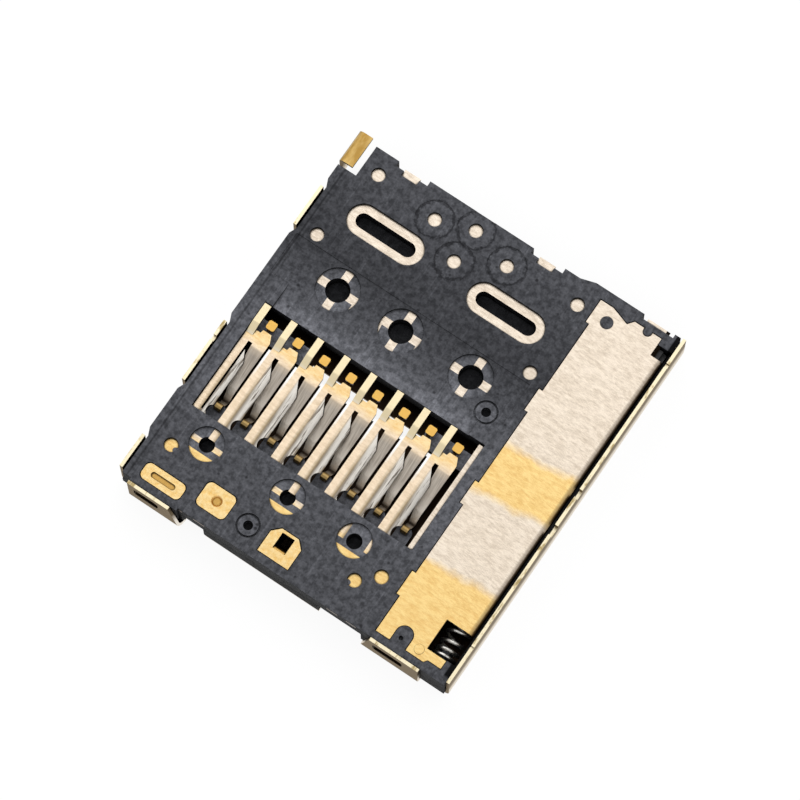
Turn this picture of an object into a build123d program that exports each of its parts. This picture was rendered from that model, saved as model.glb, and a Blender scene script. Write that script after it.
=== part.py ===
from build123d import *
import os
from math import atan2, cos, degrees, hypot, radians, sin

# A push-push memory card connector, lying on its steel cover with the solder side up.
# Each x is measured from the left wall of the cover, each y from the rear flanges towards
# the card entry, and each z from the outer face of the cover. All sizes are millimetres.

# Sheet metal, gaps and levels
HEIGHT = 1.85
SHEET = 0.12  # cover sheet
BEND = 0.25  # inside radius of the cover's folds
FRAME = 0.15  # lead frame and base plate
CARD_SPACE = 0.88  # clear height over the cover for the card
FACE_DROP = 0.05  # moulding face below the solder plane
BURIED = 0.12  # plastic over the lead frame
FIT = 0.03  # gap round metal that is laid into a pocket
RUNNING = 0.05  # gap beside a piece that slides
CUT = 0.1  # how far a cut runs past the face that it opens

CEILING = SHEET + CARD_SPACE
DECK = HEIGHT - FACE_DROP
FRAME_TOP = DECK - BURIED
FRAME_FLOOR = FRAME_TOP - FRAME
FRAME_MIDDLE = FRAME_FLOOR + FRAME / 2
FOLD = SHEET + BEND

# Contacts in a row, and the card that their pitch stands for
CONTACTS = 8
PITCH = 1.1
FIRST_TAIL = 0.96
CARD_LEFT = 0.5  # its straight edge
CARD_MARGIN = 0.9  # what its leading part has beyond the row
CARD_STEP = 1.3
CARD_NARROW = CARD_MARGIN + CONTACTS * PITCH
CARD_WIDE = CARD_NARROW + CARD_STEP

# Across: card, slider, wall
SLIDER_WIDTH = 1.45
SLIDER_LEFT = CARD_LEFT + CARD_WIDE + 0.25
SLIDER_RIGHT = SLIDER_LEFT + SLIDER_WIDTH
WALL_SPACE = 0.3  # from the slider to the cover's outer face
WIDTH = SLIDER_RIGHT + WALL_SPACE
PLATE_LEFT = CARD_LEFT + CARD_NARROW + 0.22
PLATE_RIGHT = WIDTH - 0.25

# Along: rear, contact window, front deck with a nose
WINDOW_REAR = 3.5
WINDOW_LENGTH = 4.43
FRONT_DECK = 6.75
NOSE = 0.17
WINDOW_FRONT = WINDOW_REAR + WINDOW_LENGTH
FRONT = WINDOW_FRONT + FRONT_DECK
DEPTH = FRONT + NOSE
HOUSING_REAR = 0.25

# Each contact has a solder tail and, half a pitch to the right, a spring arm
TAIL_WIDTH = 0.26
TAIL_FRONT = WINDOW_FRONT - 0.06
TAIL_REAR = WINDOW_FRONT - 0.99
RAMP_LENGTH = 0.42
RAMP_REAR = TAIL_REAR - 0.22
RAMP_FILLET = 0.15
STRIP_RUN = 0.5  # how far a strip runs on behind the window
STRIP_SPREAD = 0.21  # the strip's left edge from its middle, where it is widest
SPREAD_END = WINDOW_REAR - 0.15
SPREAD_FRONT = RAMP_REAR - 0.1
SHOWN_RUNS = {1: 0.63, 4: 0.63, 6: 0.95, 7: 0.95}  # strips that run on into a port
ARM_ROOT = WINDOW_FRONT - 1.48
ARM_ROOT_WIDTH = 0.51
ARM_WIDTH = 0.25
ARM_LEFT = 0.2  # the arm's left edge from its middle, at the knee
ARM_KNEE = WINDOW_REAR + 1.45
ARM_KNEE_DROP = 0.6
BUMP_Y = WINDOW_REAR + 0.92
BUMP_Z = 0.66
TIP_Y = WINDOW_REAR + 0.56
TIP_Z = 1.24
TIP_RADIUS = 0.15
TIP_SIDES = 12
ARM_FILLET = 0.12
ROOT_FRONT = WINDOW_FRONT - 0.86
PAD_SIDE = 0.33  # square end pad in front of the root
PAD_Y = ROOT_FRONT + 0.285
PAD_OFFSET = -0.055
PAD_ROUND = 0.07
PAD_NECK = 0.14
PAD_NECK_DROP = 0.09
WING_WIDTH = 0.22
WING_DROP = 0.18
WING_FRONT = ARM_ROOT - 0.15
WING_NOTCH = 0.33  # radius of the notch that clears the tip
FIRST_NOTCH = 0.27
WING_SLIT = 0.07

# Window in the moulding over the contacts
WINDOW_LEFT = FIRST_TAIL - 0.16
WINDOW_RIGHT = FIRST_TAIL + CONTACTS * PITCH + 0.11
SHELF_WIDTH = 0.58  # rounded shelf under each tip
SHELF_LENGTH = 0.9
SHELF_MIDDLE = WINDOW_REAR + 0.25
SHELF_THICK = 0.15
BAR_REAR = WINDOW_FRONT - 1.13
BAR_FRONT = WINDOW_FRONT - 0.43
BAR_THICK = 0.3
BARS = (2.3, 2.0)  # lengths of the left and right bar
BEVEL_LENGTH = 0.97
BEVEL_DROP = 0.1
BEVEL_LEFT = WINDOW_LEFT + 0.3
BEVEL_RIGHT = WINDOW_RIGHT - 0.67
SUNK_DROP = 0.02  # shallow band round the targets
SUNK_LEFT = 0.3
SUNK_RIGHT = PLATE_LEFT - 0.47
SUNK_FRONT = FRONT - 4.12

# Front edge of the moulding
NOSE_LEFT = PLATE_LEFT - 1.15  # the edge steps forward from here
NOSE_RAMP = 0.56
NOSE_RIGHT = PLATE_LEFT + 1.38
POST_LEFT = PLATE_RIGHT - 0.18
POST_RIGHT = PLATE_RIGHT + 0.05
POST_FRONT = DEPTH - 0.02
FOOT_BAY_RIGHT = SHEET + 0.69
FOOT_BAY_REAR = FRONT - 1.27
STUB_NOTCHES = (1.76, 7.36)  # left sides of the two carrier notches
NOTCH_WIDTH = 1.3
NOTCH_DEPTH = 0.2
STUB_INSET = 0.33
STUB_WIDTH = 0.64
STUB_OUT = 0.1
STUB_POCKET = 0.38

# Ports in the moulding: places as (x, distance behind the front edge)
PORT_RADIUS = 0.26
FRONT_PORTS = (
    (1.44, 0.81), (0.9, 3.77), (PLATE_LEFT - 0.71, 0.84), (PLATE_LEFT - 0.71, 3.76),
)
RINGED_PORTS = ((3.95, 1.05), (5.35, 0.59), (5.34, 1.93), (6.94, 1.05))
RING_RADIUS = 0.7
RING_DROP = 0.015
OVALS = ((2.85, 2.45), (7.84, 2.46))
OVAL_LENGTH = 3.03
OVAL_WIDTH = 1.2
OVAL_RING = 0.32
TARGETS = ((2.61, 5.01), (5.22, 5.01), (8.11, 5.01))
TARGET_RADIUS = 0.8
TARGET_HOLE = 0.44
SPOKE = 0.31
SLIVERS = ((0, -32, 0), (1, -25, 0), (1, 180, 218))  # target, first and last angle
SLIVER_WIDTH = 0.1
BLIND_FLOOR = CEILING + 0.15  # bottom of the deep holes
BOSSES = ((PLATE_LEFT - 1.17, WINDOW_FRONT + 0.98), (4.8, 1.1))
BOSS_GROOVE = 0.43
BOSS_RADIUS = 0.36
BOSS_HOLE = 0.17
BOSS_DEPTH = 0.2
BOSS_GROOVE_DEPTH = 0.1

# Front insert
INSERT_LEFT = 0.6
INSERT_RIGHT = PLATE_LEFT - 0.37
INSERT_REAR = FRONT - 6.05
INSERT_FRONT = FRONT - 0.3

# Small targets: places as (x, distance behind the window)
SMALL_TARGETS = ((2.02, 0.85), (5.34, 0.83), (8.07, 0.82))
SMALL_RADIUS = 0.63
SMALL_HOLE = 0.28
SMALL_SPOKE = 0.2
CRESCENT = 0.36  # distance of the lower metal's edge behind the port's centre
REAR_PORTS = ((1.03, 1.95), (PLATE_LEFT - 0.88, 2.16), (PLATE_LEFT - 1.57, 1.55))
BITES = ((0, (0.22, -0.06)), (2, (-0.17, -0.17)))  # round bites in the metal of two rear ports
BITE_RADIUS = 0.11
REAR_LEFT = 0.7
REAR_FRONT = WINDOW_REAR - 0.74
REAR_BACK = 1.73
STRIP_BAY = (7.2, 9.0, 0.31)  # left, right and depth of the bay that clears two strips
FINGERS = ((2.37, 2.66), (PLATE_LEFT - 1.83, PLATE_LEFT - 1.39),
           (PLATE_LEFT - 1.04, PLATE_LEFT - 0.64))
FINGER_REAR = HOUSING_REAR
NINTH_STRIP = FIRST_TAIL + CONTACTS * PITCH
NINTH_WIDTH = 0.17

# Rear solder pads: middle x, middle y, width and length
PAD_TOP = DECK - 0.02
PAD_FLOOR = PAD_TOP - FRAME
OVAL_PAD = (1.535, 0.75, 1.61, 0.62)
OVAL_SLOT = (0.98, 0.22)
STAMPED = 0.08
PAD_CORNER = 0.2
SQUARE_PAD = (3.415, 1.2, 1.17, 0.94)
SQUARE_STUB = (3.12, 3.57)
STUB_THICK = 0.1
DIMPLE = 0.2
HOUSE_PAD = (6.16, 1.12, 1.24, 1.08)
HOUSE_CORNER = 0.28
LEAF_WINDOW = (0.5, 0.62)
LEAF_REAR = HOUSE_PAD[1] - 0.18
LEAF_WIDTH = 0.44
LEAF_THICK = 0.1
LEAF_FOOT_Z = 0.35

# Slider's chamber and the base plate over it
PLATE_TOP = DECK - 0.03
PLATE_FLOOR = PLATE_TOP - FRAME
PLATE_REAR = 0.53
PLATE_FRONT = FRONT - 0.24
PLATE_BUMP = 0.14
PLATE_BUMPS = (
    (1.98, 2.92), (WINDOW_FRONT - 2.13, WINDOW_FRONT - 1.21), (FRONT - 4.96, FRONT - 4.06),
    (FRONT - 1.18, PLATE_FRONT),
)
PLATE_LIP = 0.22
LIP_FRONT = PLATE_FRONT - 0.69
CHAMBER_FRONT = FRONT - 0.48
SPRING_SEAT = 1.0
REAR_WALL = 0.7
SPRING_WINDOW_LEFT = PLATE_RIGHT - 1.06
SPRING_WINDOW_REAR = PLATE_REAR + 0.45
SPRING_WINDOW_FRONT = SPRING_SEAT + 1.19
STAKE = (PLATE_LEFT + 0.47, 0.81)
STAKE_RADIUS = 0.23
POST_SLOT = (PLATE_LEFT + 0.88, 1.27, 0.66)  # middle x, front end and width
CARRIER_TAB = (PLATE_LEFT + 1.58, PLATE_LEFT + 2.48)
CARRIER_TAB_THICK = 0.1
CARRIER_TAB_FRONT = DEPTH - 0.05

# Slider
TRAVEL = 2.5
STOP_GAP = 0.05
SLIDER_FRONT = CHAMBER_FRONT - STOP_GAP
SLIDER_FLOOR = 0.45
SLIDER_TOP = PLATE_FLOOR - RUNNING
SHOULDER_TOP = SLIDER_TOP - PLATE_LIP
RUNNER = 0.18
PUSHER_FRONT = WINDOW_REAR + 0.4
PUSHER_THICK = 0.6
PUSHER_LEFT = CARD_LEFT + CARD_NARROW - 0.3
SHANK_LEFT = SLIDER_LEFT - 0.7
SHANK_RIGHT = SLIDER_LEFT + 0.35
SLIDER_REAR = PUSHER_FRONT + 1.7

# Lock leaf: it clicks into the notch in the card's side
LEAF = 0.12
LEAF_HEIGHT = 0.55
LEAF_FLOOR = 0.3
LEAF_ROOT = PUSHER_FRONT + 4.1
LEAF_BUMP = PUSHER_FRONT + 7.1

# Push spring
SPRING_OD = 0.95
SPRING_WIRE = 0.14
SPRING_SIDES = 6
SPRING_X = SLIDER_RIGHT - 0.47
SPRING_Z = 1.0
SPRING_TURNS = 11
SPIGOT_RADIUS = 0.25

# Cam pin and the heart-shaped groove it rides in
PIN_WIRE = 0.22
PIN_SIDES = 12
PIN_X = (SLIDER_LEFT + SLIDER_RIGHT) / 2
PIN_LENGTH = 4.84
PIN_PIVOT_Y = CHAMBER_FRONT + 0.24
PIN_TIP_Y = PIN_PIVOT_Y - PIN_LENGTH
PIN_RUN_Z = 0.29
PIN_TIP_Z = 0.8
PIN_PIVOT_Z = 0.95
PIN_SWING = 4.5  # degrees, over the slider's travel
PIN_GAP = 0.05
LOCK_BACK = 0.3  # the catch lies this far behind the end of the travel
GROOVE_CEILING = 0.95

# Cover: side walls with rims, rear flanges, solder foot, windows
LOW_WALL = 0.75
LEFT_RIMS = (
    (0.18, 1.72), (WINDOW_REAR + 0.57, WINDOW_REAR + 3.09), (FRONT - 3.91, FRONT - 2.24),
)
RIM_NICK = WINDOW_REAR + 2.37
RIM_POCKET = 0.2
RIM_SLOPE = 0.35
LEDGE_LEFT = 0.07
FOOT_REAR = FRONT - 1.1
FOOT_REACH = 0.45
FOOT_WALL_LOW = 0.45
# notches in the right wall: rear end, length and depth
WALL_NOTCHES = (
    (1.82, 0.06, 0.1), (WINDOW_FRONT - 1.38, 0.4, 0.3), (WINDOW_FRONT + 0.2, 0.32, 0.3),
    (FRONT - 1.03, 0.15, 0.1),
)
# flanges: left, right, run of the slanted inner side, left and right end of the slot
LEFT_FLANGE = (0.56, 2.24, 0.39, 0.8, 1.8)
RIGHT_FLANGE = (WIDTH - 3.08, WIDTH - 1.11, 0.42, WIDTH - 2.95, WIDTH - 1.75)
RIGHT_FLANGE_INSET = 0.11
FLANGE_RUN = 1.5
SLOT_Z = 1.18
SLOT_HEIGHT = 0.55
SHEET_REAR = 0.31  # edge of the cover's sheet between the flanges
RELIEFS = ((2.63, 3.5), (8.2, WIDTH - 3.52))
RELIEF_FRONT = 0.6
RELIEF_CEILING = 1.1
PIN_TONGUE = 0.6
PIN_TONGUE_SLIT = 0.12
PIN_TONGUE_LIFT = 0.05
# window in the sheet under the contacts' roots: left, right, rear and front edge
ROOT_WINDOW = (FIRST_TAIL + 2.2, WINDOW_RIGHT - 1.4, TAIL_REAR - 0.09, TAIL_REAR + 0.41)

front_ports = [(x, FRONT - behind) for x, behind in FRONT_PORTS]
ringed_ports = [(x, FRONT - behind) for x, behind in RINGED_PORTS]
ovals = [(x, FRONT - behind) for x, behind in OVALS]
targets = [(x, FRONT - behind) for x, behind in TARGETS]
small_targets = [(x, WINDOW_REAR - behind) for x, behind in SMALL_TARGETS]


def level(z):
    """Flat plane at height z, with x and y measured from the rear left corner."""
    return Plane(origin=(-WIDTH / 2, -DEPTH / 2, z))


def side(x):
    """Upright plane at x that faces right, with y across it and z up it."""
    return Plane(origin=(x - WIDTH / 2, -DEPTH / 2, 0), x_dir=(0, 1, 0), z_dir=(1, 0, 0))


def back(y):
    """Upright plane at y that faces the rear, with x across it and z up it."""
    return Plane(origin=(-WIDTH / 2, y - DEPTH / 2, 0), x_dir=(1, 0, 0), z_dir=(0, -1, 0))


def block(x0, x1, y0, y1, z0, z1, mode=Mode.ADD):
    """Box between two corners, in the part that is being built."""
    with Locations((x0 - WIDTH / 2, y0 - DEPTH / 2, z0)):
        Box(x1 - x0, y1 - y0, z1 - z0, align=(Align.MIN, Align.MIN, Align.MIN), mode=mode)


def folded(plane, points, thick, radius):
    """Edge of a folded sheet whose middle runs through points, rounded at each fold."""
    with BuildSketch(plane) as edge:
        with BuildLine():
            run = FilletPolyline(*points, radius=radius)
        trace(run, line_width=thick)
    return edge.sketch


def outline(plane, points):
    """Flat face with straight sides through points."""
    with BuildSketch(plane) as shape:
        with BuildLine():
            Polyline(*points, close=True)
        make_face()
    return shape.sketch


def lane(start, end, width):
    """Slot between two points, in the sketch that is being drawn."""
    run = (end[0] - start[0], end[1] - start[1])
    with Locations(((start[0] + end[0]) / 2, (start[1] + end[1]) / 2)):
        SlotCenterToCenter(hypot(*run), width, rotation=degrees(atan2(run[1], run[0])))


def polar(centre, radius, angle):
    """Point at an angle in degrees round a centre."""
    return (centre[0] + radius * cos(radians(angle)), centre[1] + radius * sin(radians(angle)))


def save(piece, name):
    piece.part.label = name
    export_step(piece.part, f"parts/{name}.step")


os.makedirs("parts", exist_ok=True)

# Front insert: the buried plate that shows in the front ports, rings and targets
with BuildPart() as front_insert:
    block(INSERT_LEFT, INSERT_RIGHT, INSERT_REAR, INSERT_FRONT, FRAME_FLOOR, FRAME_TOP)
    bay_gap = 0.15
    block(INSERT_LEFT, FOOT_BAY_RIGHT + bay_gap, FOOT_BAY_REAR - bay_gap, INSERT_FRONT,
          FRAME_FLOOR, FRAME_TOP, Mode.SUBTRACT)
    for left in STUB_NOTCHES:
        start = left + STUB_INSET
        block(start, start + STUB_WIDTH, INSERT_FRONT, FRONT - STUB_OUT, FRAME_FLOOR, FRAME_TOP)
    with BuildSketch(level(FRAME_FLOOR)):
        with Locations(*ovals):
            SlotOverall(OVAL_LENGTH - 2 * OVAL_RING, OVAL_WIDTH - 2 * OVAL_RING)
        with Locations(*targets):
            Circle(TARGET_RADIUS + FIT)
    extrude(amount=FRAME, mode=Mode.SUBTRACT)
    with BuildSketch(level(FRAME_FLOOR)):
        with Locations(*targets):
            Rectangle(2 * TARGET_RADIUS + SPOKE, SPOKE)
            Rectangle(SPOKE, 2 * TARGET_RADIUS + SPOKE)
        with Locations(*targets):
            Circle(TARGET_HOLE, mode=Mode.SUBTRACT)
    extrude(amount=FRAME)
    for number, first, last in SLIVERS:
        wide, thin = (first, last) if first == 180 else (last, first)
        centre = targets[number]
        sliver = [polar(centre, TARGET_RADIUS - SLIVER_WIDTH, wide),
                  polar(centre, TARGET_RADIUS, thin),
                  polar(centre, TARGET_RADIUS + SLIVER_WIDTH, thin),
                  polar(centre, TARGET_RADIUS + SLIVER_WIDTH, wide)]
        extrude(outline(level(FRAME_FLOOR), sliver), amount=FRAME)
    boss_room = 0.55
    block(BOSSES[0][0] - boss_room, INSERT_RIGHT, INSERT_REAR, BOSSES[0][1] + boss_room,
          FRAME_FLOOR, FRAME_TOP, Mode.SUBTRACT)
save(front_insert, "front_insert")

# Rear insert: the buried plate of the rear ports, with the ninth strip of the window
with BuildPart() as rear_insert:
    ninth_right = NINTH_STRIP + NINTH_WIDTH / 2
    block(REAR_LEFT, ninth_right, REAR_BACK, REAR_FRONT, FRAME_FLOOR, FRAME_TOP)
    block(ninth_right - NINTH_WIDTH, ninth_right, REAR_FRONT, TAIL_FRONT, FRAME_FLOOR, FRAME_TOP)
    for low, high in FINGERS:
        block(low, high, FINGER_REAR, REAR_BACK + FRAME, FRAME_FLOOR, FRAME_TOP)
    finger_web = (FINGERS[1][0], NINTH_STRIP)
    block(*finger_web, REAR_BACK - 0.45, REAR_BACK + FRAME, FRAME_FLOOR, FRAME_TOP)
    boss_strip = 0.27
    block(BOSSES[1][0] - boss_strip, BOSSES[1][0] + boss_strip, BOSSES[1][1] - 0.5,
          REAR_BACK + FRAME, FRAME_FLOOR, FRAME_TOP)
    with BuildSketch(level(FRAME_FLOOR)):
        with Locations(*small_targets):
            Circle(SMALL_RADIUS + FIT)
        with Locations(BOSSES[1]):
            Circle(BOSS_HOLE + FIT)
        for port, (dx, dy) in BITES:
            with Locations((REAR_PORTS[port][0] + dx, REAR_PORTS[port][1] + dy)):
                Circle(BITE_RADIUS)
    extrude(amount=FRAME, mode=Mode.SUBTRACT)
    opening = SMALL_RADIUS + 2 * FIT
    with BuildSketch(level(FRAME_FLOOR)):
        with Locations(*small_targets):
            Circle(opening)
            with Locations((0, (opening - CRESCENT) / 2)):
                Rectangle(2 * opening, opening + CRESCENT, mode=Mode.SUBTRACT)
        with Locations(*small_targets[:2]):
            Rectangle(2 * SMALL_RADIUS + SMALL_SPOKE, SMALL_SPOKE)
        with Locations(*small_targets):
            Circle(SMALL_HOLE, mode=Mode.SUBTRACT)
    extrude(amount=FRAME)
    block(STRIP_BAY[0], STRIP_BAY[1], REAR_FRONT - STRIP_BAY[2], REAR_FRONT + CUT,
          FRAME_FLOOR, FRAME_TOP, Mode.SUBTRACT)
save(rear_insert, "rear_insert")

# Contacts: tail, strip, root with its square pad, and the spring arm
tail_middle = HEIGHT - FRAME / 2
half_root = ARM_ROOT_WIDTH / 2
half_arm = ARM_WIDTH / 2
half_tail = TAIL_WIDTH / 2
arm_path = (
    (ROOT_FRONT, FRAME_MIDDLE),
    (ARM_ROOT - 0.05, FRAME_MIDDLE),
    (ARM_KNEE, FRAME_MIDDLE - ARM_KNEE_DROP),
    (BUMP_Y, BUMP_Z),
    (TIP_Y, TIP_Z),
)
arm_plan = (
    (-half_root + 0.05, ROOT_FRONT),
    (half_root - 0.13, ROOT_FRONT),
    (half_root, ROOT_FRONT - 0.28),
    (half_root, ARM_ROOT),
    (half_arm, ARM_KNEE - 0.2),
    (half_arm, TIP_Y - 2 * TIP_RADIUS),
    (-half_arm, TIP_Y - 2 * TIP_RADIUS),
    (-half_arm, BUMP_Y),
    (-ARM_LEFT, ARM_KNEE),
    (-half_root, ARM_ROOT),
    (-half_root, ROOT_FRONT - 0.2),
)


def wing(tail, arm, notch):
    """Folded-down right edge of a strip, cut back by a notch round the arm's tip."""
    edge = tail + half_tail
    low_edge = edge + WING_WIDTH
    path = ((tail, FRAME_MIDDLE), (edge, FRAME_MIDDLE), (low_edge, FRAME_MIDDLE - WING_DROP))
    with BuildPart() as piece:
        extrude(folded(back(WING_FRONT), path, FRAME, ARM_FILLET), amount=WING_FRONT - WINDOW_REAR)
        plan = ((tail, WING_FRONT), (edge, WING_FRONT), (low_edge + FRAME, ARM_KNEE + 0.6),
                (low_edge + FRAME, WINDOW_REAR), (tail, WINDOW_REAR))
        extrude(outline(level(0), plan), amount=HEIGHT, mode=Mode.INTERSECT)
        with BuildSketch(level(0)):
            with Locations((arm, SHELF_MIDDLE)):
                Circle(notch)
        extrude(amount=HEIGHT, mode=Mode.SUBTRACT)
    return piece.part


contacts = []
for k in range(CONTACTS):
    tail = FIRST_TAIL + k * PITCH
    arm = tail + PITCH / 2
    strip_end = WINDOW_REAR - SHOWN_RUNS.get(k, STRIP_RUN)
    strip_path = (
        (strip_end, FRAME_MIDDLE),
        (RAMP_REAR, FRAME_MIDDLE),
        (RAMP_REAR + RAMP_LENGTH, tail_middle),
        (TAIL_FRONT, tail_middle),
    )
    with BuildPart() as contact:
        extrude(folded(side(arm), arm_path, FRAME, ARM_FILLET), amount=half_root, both=True)
        plan = outline(level(0), [(arm + x, y) for x, y in arm_plan])
        extrude(plan, amount=HEIGHT, mode=Mode.INTERSECT)
        with BuildSketch(side(arm)):
            with Locations((TIP_Y, TIP_Z)):
                RegularPolygon(TIP_RADIUS, TIP_SIDES)
        extrude(amount=half_arm, both=True)
        extrude(folded(side(tail), strip_path, FRAME, RAMP_FILLET), amount=half_tail, both=True)
        block(tail, arm, ARM_ROOT + FIT, TAIL_REAR, FRAME_FLOOR, FRAME_TOP)
        pad = arm + PAD_OFFSET
        with BuildSketch(level(FRAME_FLOOR)):
            with Locations((pad, PAD_Y)):
                RectangleRounded(PAD_SIDE, PAD_SIDE, PAD_ROUND)
        extrude(amount=FRAME)
        block(pad - PAD_NECK / 2, pad + PAD_NECK / 2, ROOT_FRONT - FIT, PAD_Y,
              FRAME_FLOOR, FRAME_TOP - PAD_NECK_DROP)
        if k:
            spread = tail - STRIP_SPREAD
            left_edge = ((tail, SPREAD_FRONT), (spread, SPREAD_FRONT),
                         (spread, SPREAD_END), (tail - half_tail, SPREAD_END),
                         (tail - half_tail, strip_end), (tail, strip_end))
            extrude(outline(level(FRAME_FLOOR), left_edge), amount=FRAME)
            add(wing(tail, arm, WING_NOTCH))
        else:
            # the first strip is narrow, and a slit parts it from its wing
            slit = tail + half_tail
            add(wing(tail, arm, FIRST_NOTCH))
            block(slit, slit + WING_SLIT, WINDOW_REAR + 0.12, WING_FRONT + FIT, 0, HEIGHT,
                  Mode.SUBTRACT)
    save(contact, f"contact_{k + 1}")
    contacts.append(contact.part)


def rounded_face(pad, grow=0):
    """Face of a rear pad with round corners, larger all round by grow."""
    x, y, width, length = pad
    with BuildSketch(level(PAD_FLOOR)) as face:
        with Locations((x, y)):
            RectangleRounded(width + 2 * grow, length + 2 * grow, PAD_CORNER)
    return face.sketch


def house_face(grow=0):
    """Face of the pad with two cut corners, larger all round by grow."""
    x, y, width, length = HOUSE_PAD
    half = width / 2 + grow
    rise = length / 2 + grow
    return outline(level(PAD_FLOOR), (
        (x - half, y - rise), (x + half, y - rise), (x + half, y + rise - HOUSE_CORNER),
        (x + half - HOUSE_CORNER, y + rise), (x - half + HOUSE_CORNER, y + rise),
        (x - half, y + rise - HOUSE_CORNER),
    ))


with BuildPart() as ground_pad:
    extrude(rounded_face(OVAL_PAD), amount=FRAME)
    with BuildSketch(level(PAD_TOP - STAMPED)):
        with Locations(OVAL_PAD[:2]):
            SlotOverall(*OVAL_SLOT)
    extrude(amount=STAMPED, mode=Mode.SUBTRACT)
save(ground_pad, "ground_pad")

with BuildPart() as switch_pad:
    extrude(rounded_face(SQUARE_PAD), amount=FRAME)
    block(*SQUARE_STUB, FINGER_REAR, SQUARE_PAD[1], PAD_FLOOR, PAD_FLOOR + STUB_THICK)
    with BuildSketch(level(PAD_TOP)):
        with Locations((SQUARE_PAD[0] + FIT, SQUARE_PAD[1])):
            Circle(DIMPLE)
    extrude(amount=-STAMPED, taper=40, mode=Mode.SUBTRACT)
save(switch_pad, "switch_pad")

with BuildPart() as switch_terminal:
    extrude(house_face(), amount=FRAME)
    x, y = HOUSE_PAD[:2]
    block(x - LEAF_WINDOW[0] / 2, x + LEAF_WINDOW[0] / 2, LEAF_REAR, LEAF_REAR + LEAF_WINDOW[1],
          PAD_FLOOR, PAD_TOP, Mode.SUBTRACT)
    leaf_top = PAD_FLOOR + LEAF_THICK / 2
    leaf_path = ((LEAF_REAR - 0.15, leaf_top), (LEAF_REAR + 0.05, leaf_top), (LEAF_REAR + 0.3, 0.95),
                 (LEAF_REAR + 0.95, LEAF_FOOT_Z), (LEAF_REAR + 1.2, LEAF_FOOT_Z + LEAF_THICK))
    extrude(folded(side(x), leaf_path, LEAF_THICK, 0.08), amount=LEAF_WIDTH / 2, both=True)
save(switch_terminal, "switch_terminal")


def plate_face(grow=0):
    """Base plate in plan, larger all round by grow."""
    rear_step = PLATE_RIGHT - 0.81
    rear_right = PLATE_RIGHT - 0.29
    corner_x = PLATE_RIGHT - 0.49
    edge_x = PLATE_RIGHT - 0.2
    nick_x = PLATE_LEFT + 1.07
    points = (
        (PLATE_LEFT, PLATE_REAR), (rear_step - 0.1, PLATE_REAR), (rear_step, PLATE_REAR + 0.13),
        (rear_right, PLATE_REAR + 0.13), (rear_right, SPRING_WINDOW_REAR),
        (SPRING_WINDOW_LEFT, SPRING_WINDOW_REAR), (SPRING_WINDOW_LEFT, SPRING_WINDOW_FRONT),
        (edge_x, SPRING_WINDOW_FRONT), (edge_x, LIP_FRONT), (corner_x, LIP_FRONT),
        (corner_x, PLATE_FRONT), (nick_x + 0.18, PLATE_FRONT), (nick_x, PLATE_FRONT - 0.23),
        (PLATE_LEFT + 0.38, PLATE_FRONT), (PLATE_LEFT, PLATE_FRONT),
    )
    slot_x, slot_front, slot_width = POST_SLOT
    with BuildSketch(level(PLATE_FLOOR)) as face:
        with BuildLine():
            Polyline(*points, close=True)
        make_face()
        for low, high in PLATE_BUMPS:
            with Locations((PLATE_LEFT, (low + high) / 2)):
                Rectangle(2 * PLATE_BUMP, high - low)
        with Locations((slot_x, slot_front - slot_width)):
            SlotOverall(2 * slot_width, slot_width, rotation=90, mode=Mode.SUBTRACT)
        with Locations((PLATE_LEFT + 1.81, PLATE_FRONT)):
            SlotOverall(0.46, 0.35, rotation=90, mode=Mode.SUBTRACT)
        if grow:
            offset(amount=grow, kind=Kind.INTERSECTION)
    return face.sketch


# Base plate over the slider's chamber, with its right edge folded down
plate_middle = PLATE_FLOOR + FRAME / 2
lip_x = PLATE_RIGHT - FRAME / 2
with BuildPart() as base_plate:
    extrude(plate_face(), amount=FRAME)
    lip = ((lip_x - 0.28, plate_middle), (lip_x, plate_middle), (lip_x, PLATE_FLOOR - PLATE_LIP))
    extrude(folded(back(LIP_FRONT), lip, FRAME, 0.12), amount=LIP_FRONT - SPRING_WINDOW_FRONT)
    with BuildSketch(level(PLATE_FLOOR)):
        with Locations((STAKE[0], FRONT - STAKE[1])):
            Circle(STAKE_RADIUS)
    extrude(amount=FRAME, mode=Mode.SUBTRACT)
    with BuildSketch(level(PLATE_TOP)):
        with Locations((PLATE_LEFT + 1.57, PLATE_REAR + 0.28)):
            Circle(0.17)
    extrude(amount=0.02)
    block(*CARRIER_TAB, LIP_FRONT, CARRIER_TAB_FRONT, PLATE_FLOOR, PLATE_FLOOR + CARRIER_TAB_THICK)
save(base_plate, "base_plate")

# Push spring, behind the slider
END_GAP = 0.02
SPRING_REAR = SPRING_SEAT + SPRING_WIRE / 2 + END_GAP
SPRING_LENGTH = SLIDER_REAR - SPRING_WIRE / 2 - END_GAP - SPRING_REAR
with BuildPart() as push_spring:
    with BuildLine() as coil:
        Helix(SPRING_LENGTH / SPRING_TURNS, SPRING_LENGTH, (SPRING_OD - SPRING_WIRE) / 2,
              center=(SPRING_X - WIDTH / 2, SPRING_REAR - DEPTH / 2, SPRING_Z),
              direction=(0, 1, 0))
    with BuildSketch(Plane(origin=coil.line @ 0, z_dir=coil.line % 0)):
        RegularPolygon(SPRING_WIRE / 2, SPRING_SIDES)
    sweep(path=coil.line, is_frenet=True)
save(push_spring, "push_spring")

# Cam pin: a bent wire that hinges in the front post and rides in the slider's groove
with BuildPart() as cam_pin:
    with BuildLine(side(PIN_X)) as wire:
        FilletPolyline((PIN_PIVOT_Y, PIN_PIVOT_Z), (PIN_PIVOT_Y, PIN_RUN_Z), (PIN_TIP_Y, PIN_RUN_Z),
                       (PIN_TIP_Y, PIN_TIP_Z), radius=0.15)
    with BuildSketch(Plane(origin=wire.line @ 0, z_dir=wire.line % 0)):
        RegularPolygon(PIN_WIRE / 2, PIN_SIDES)
    sweep(path=wire.line)
save(cam_pin, "cam_pin")

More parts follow.
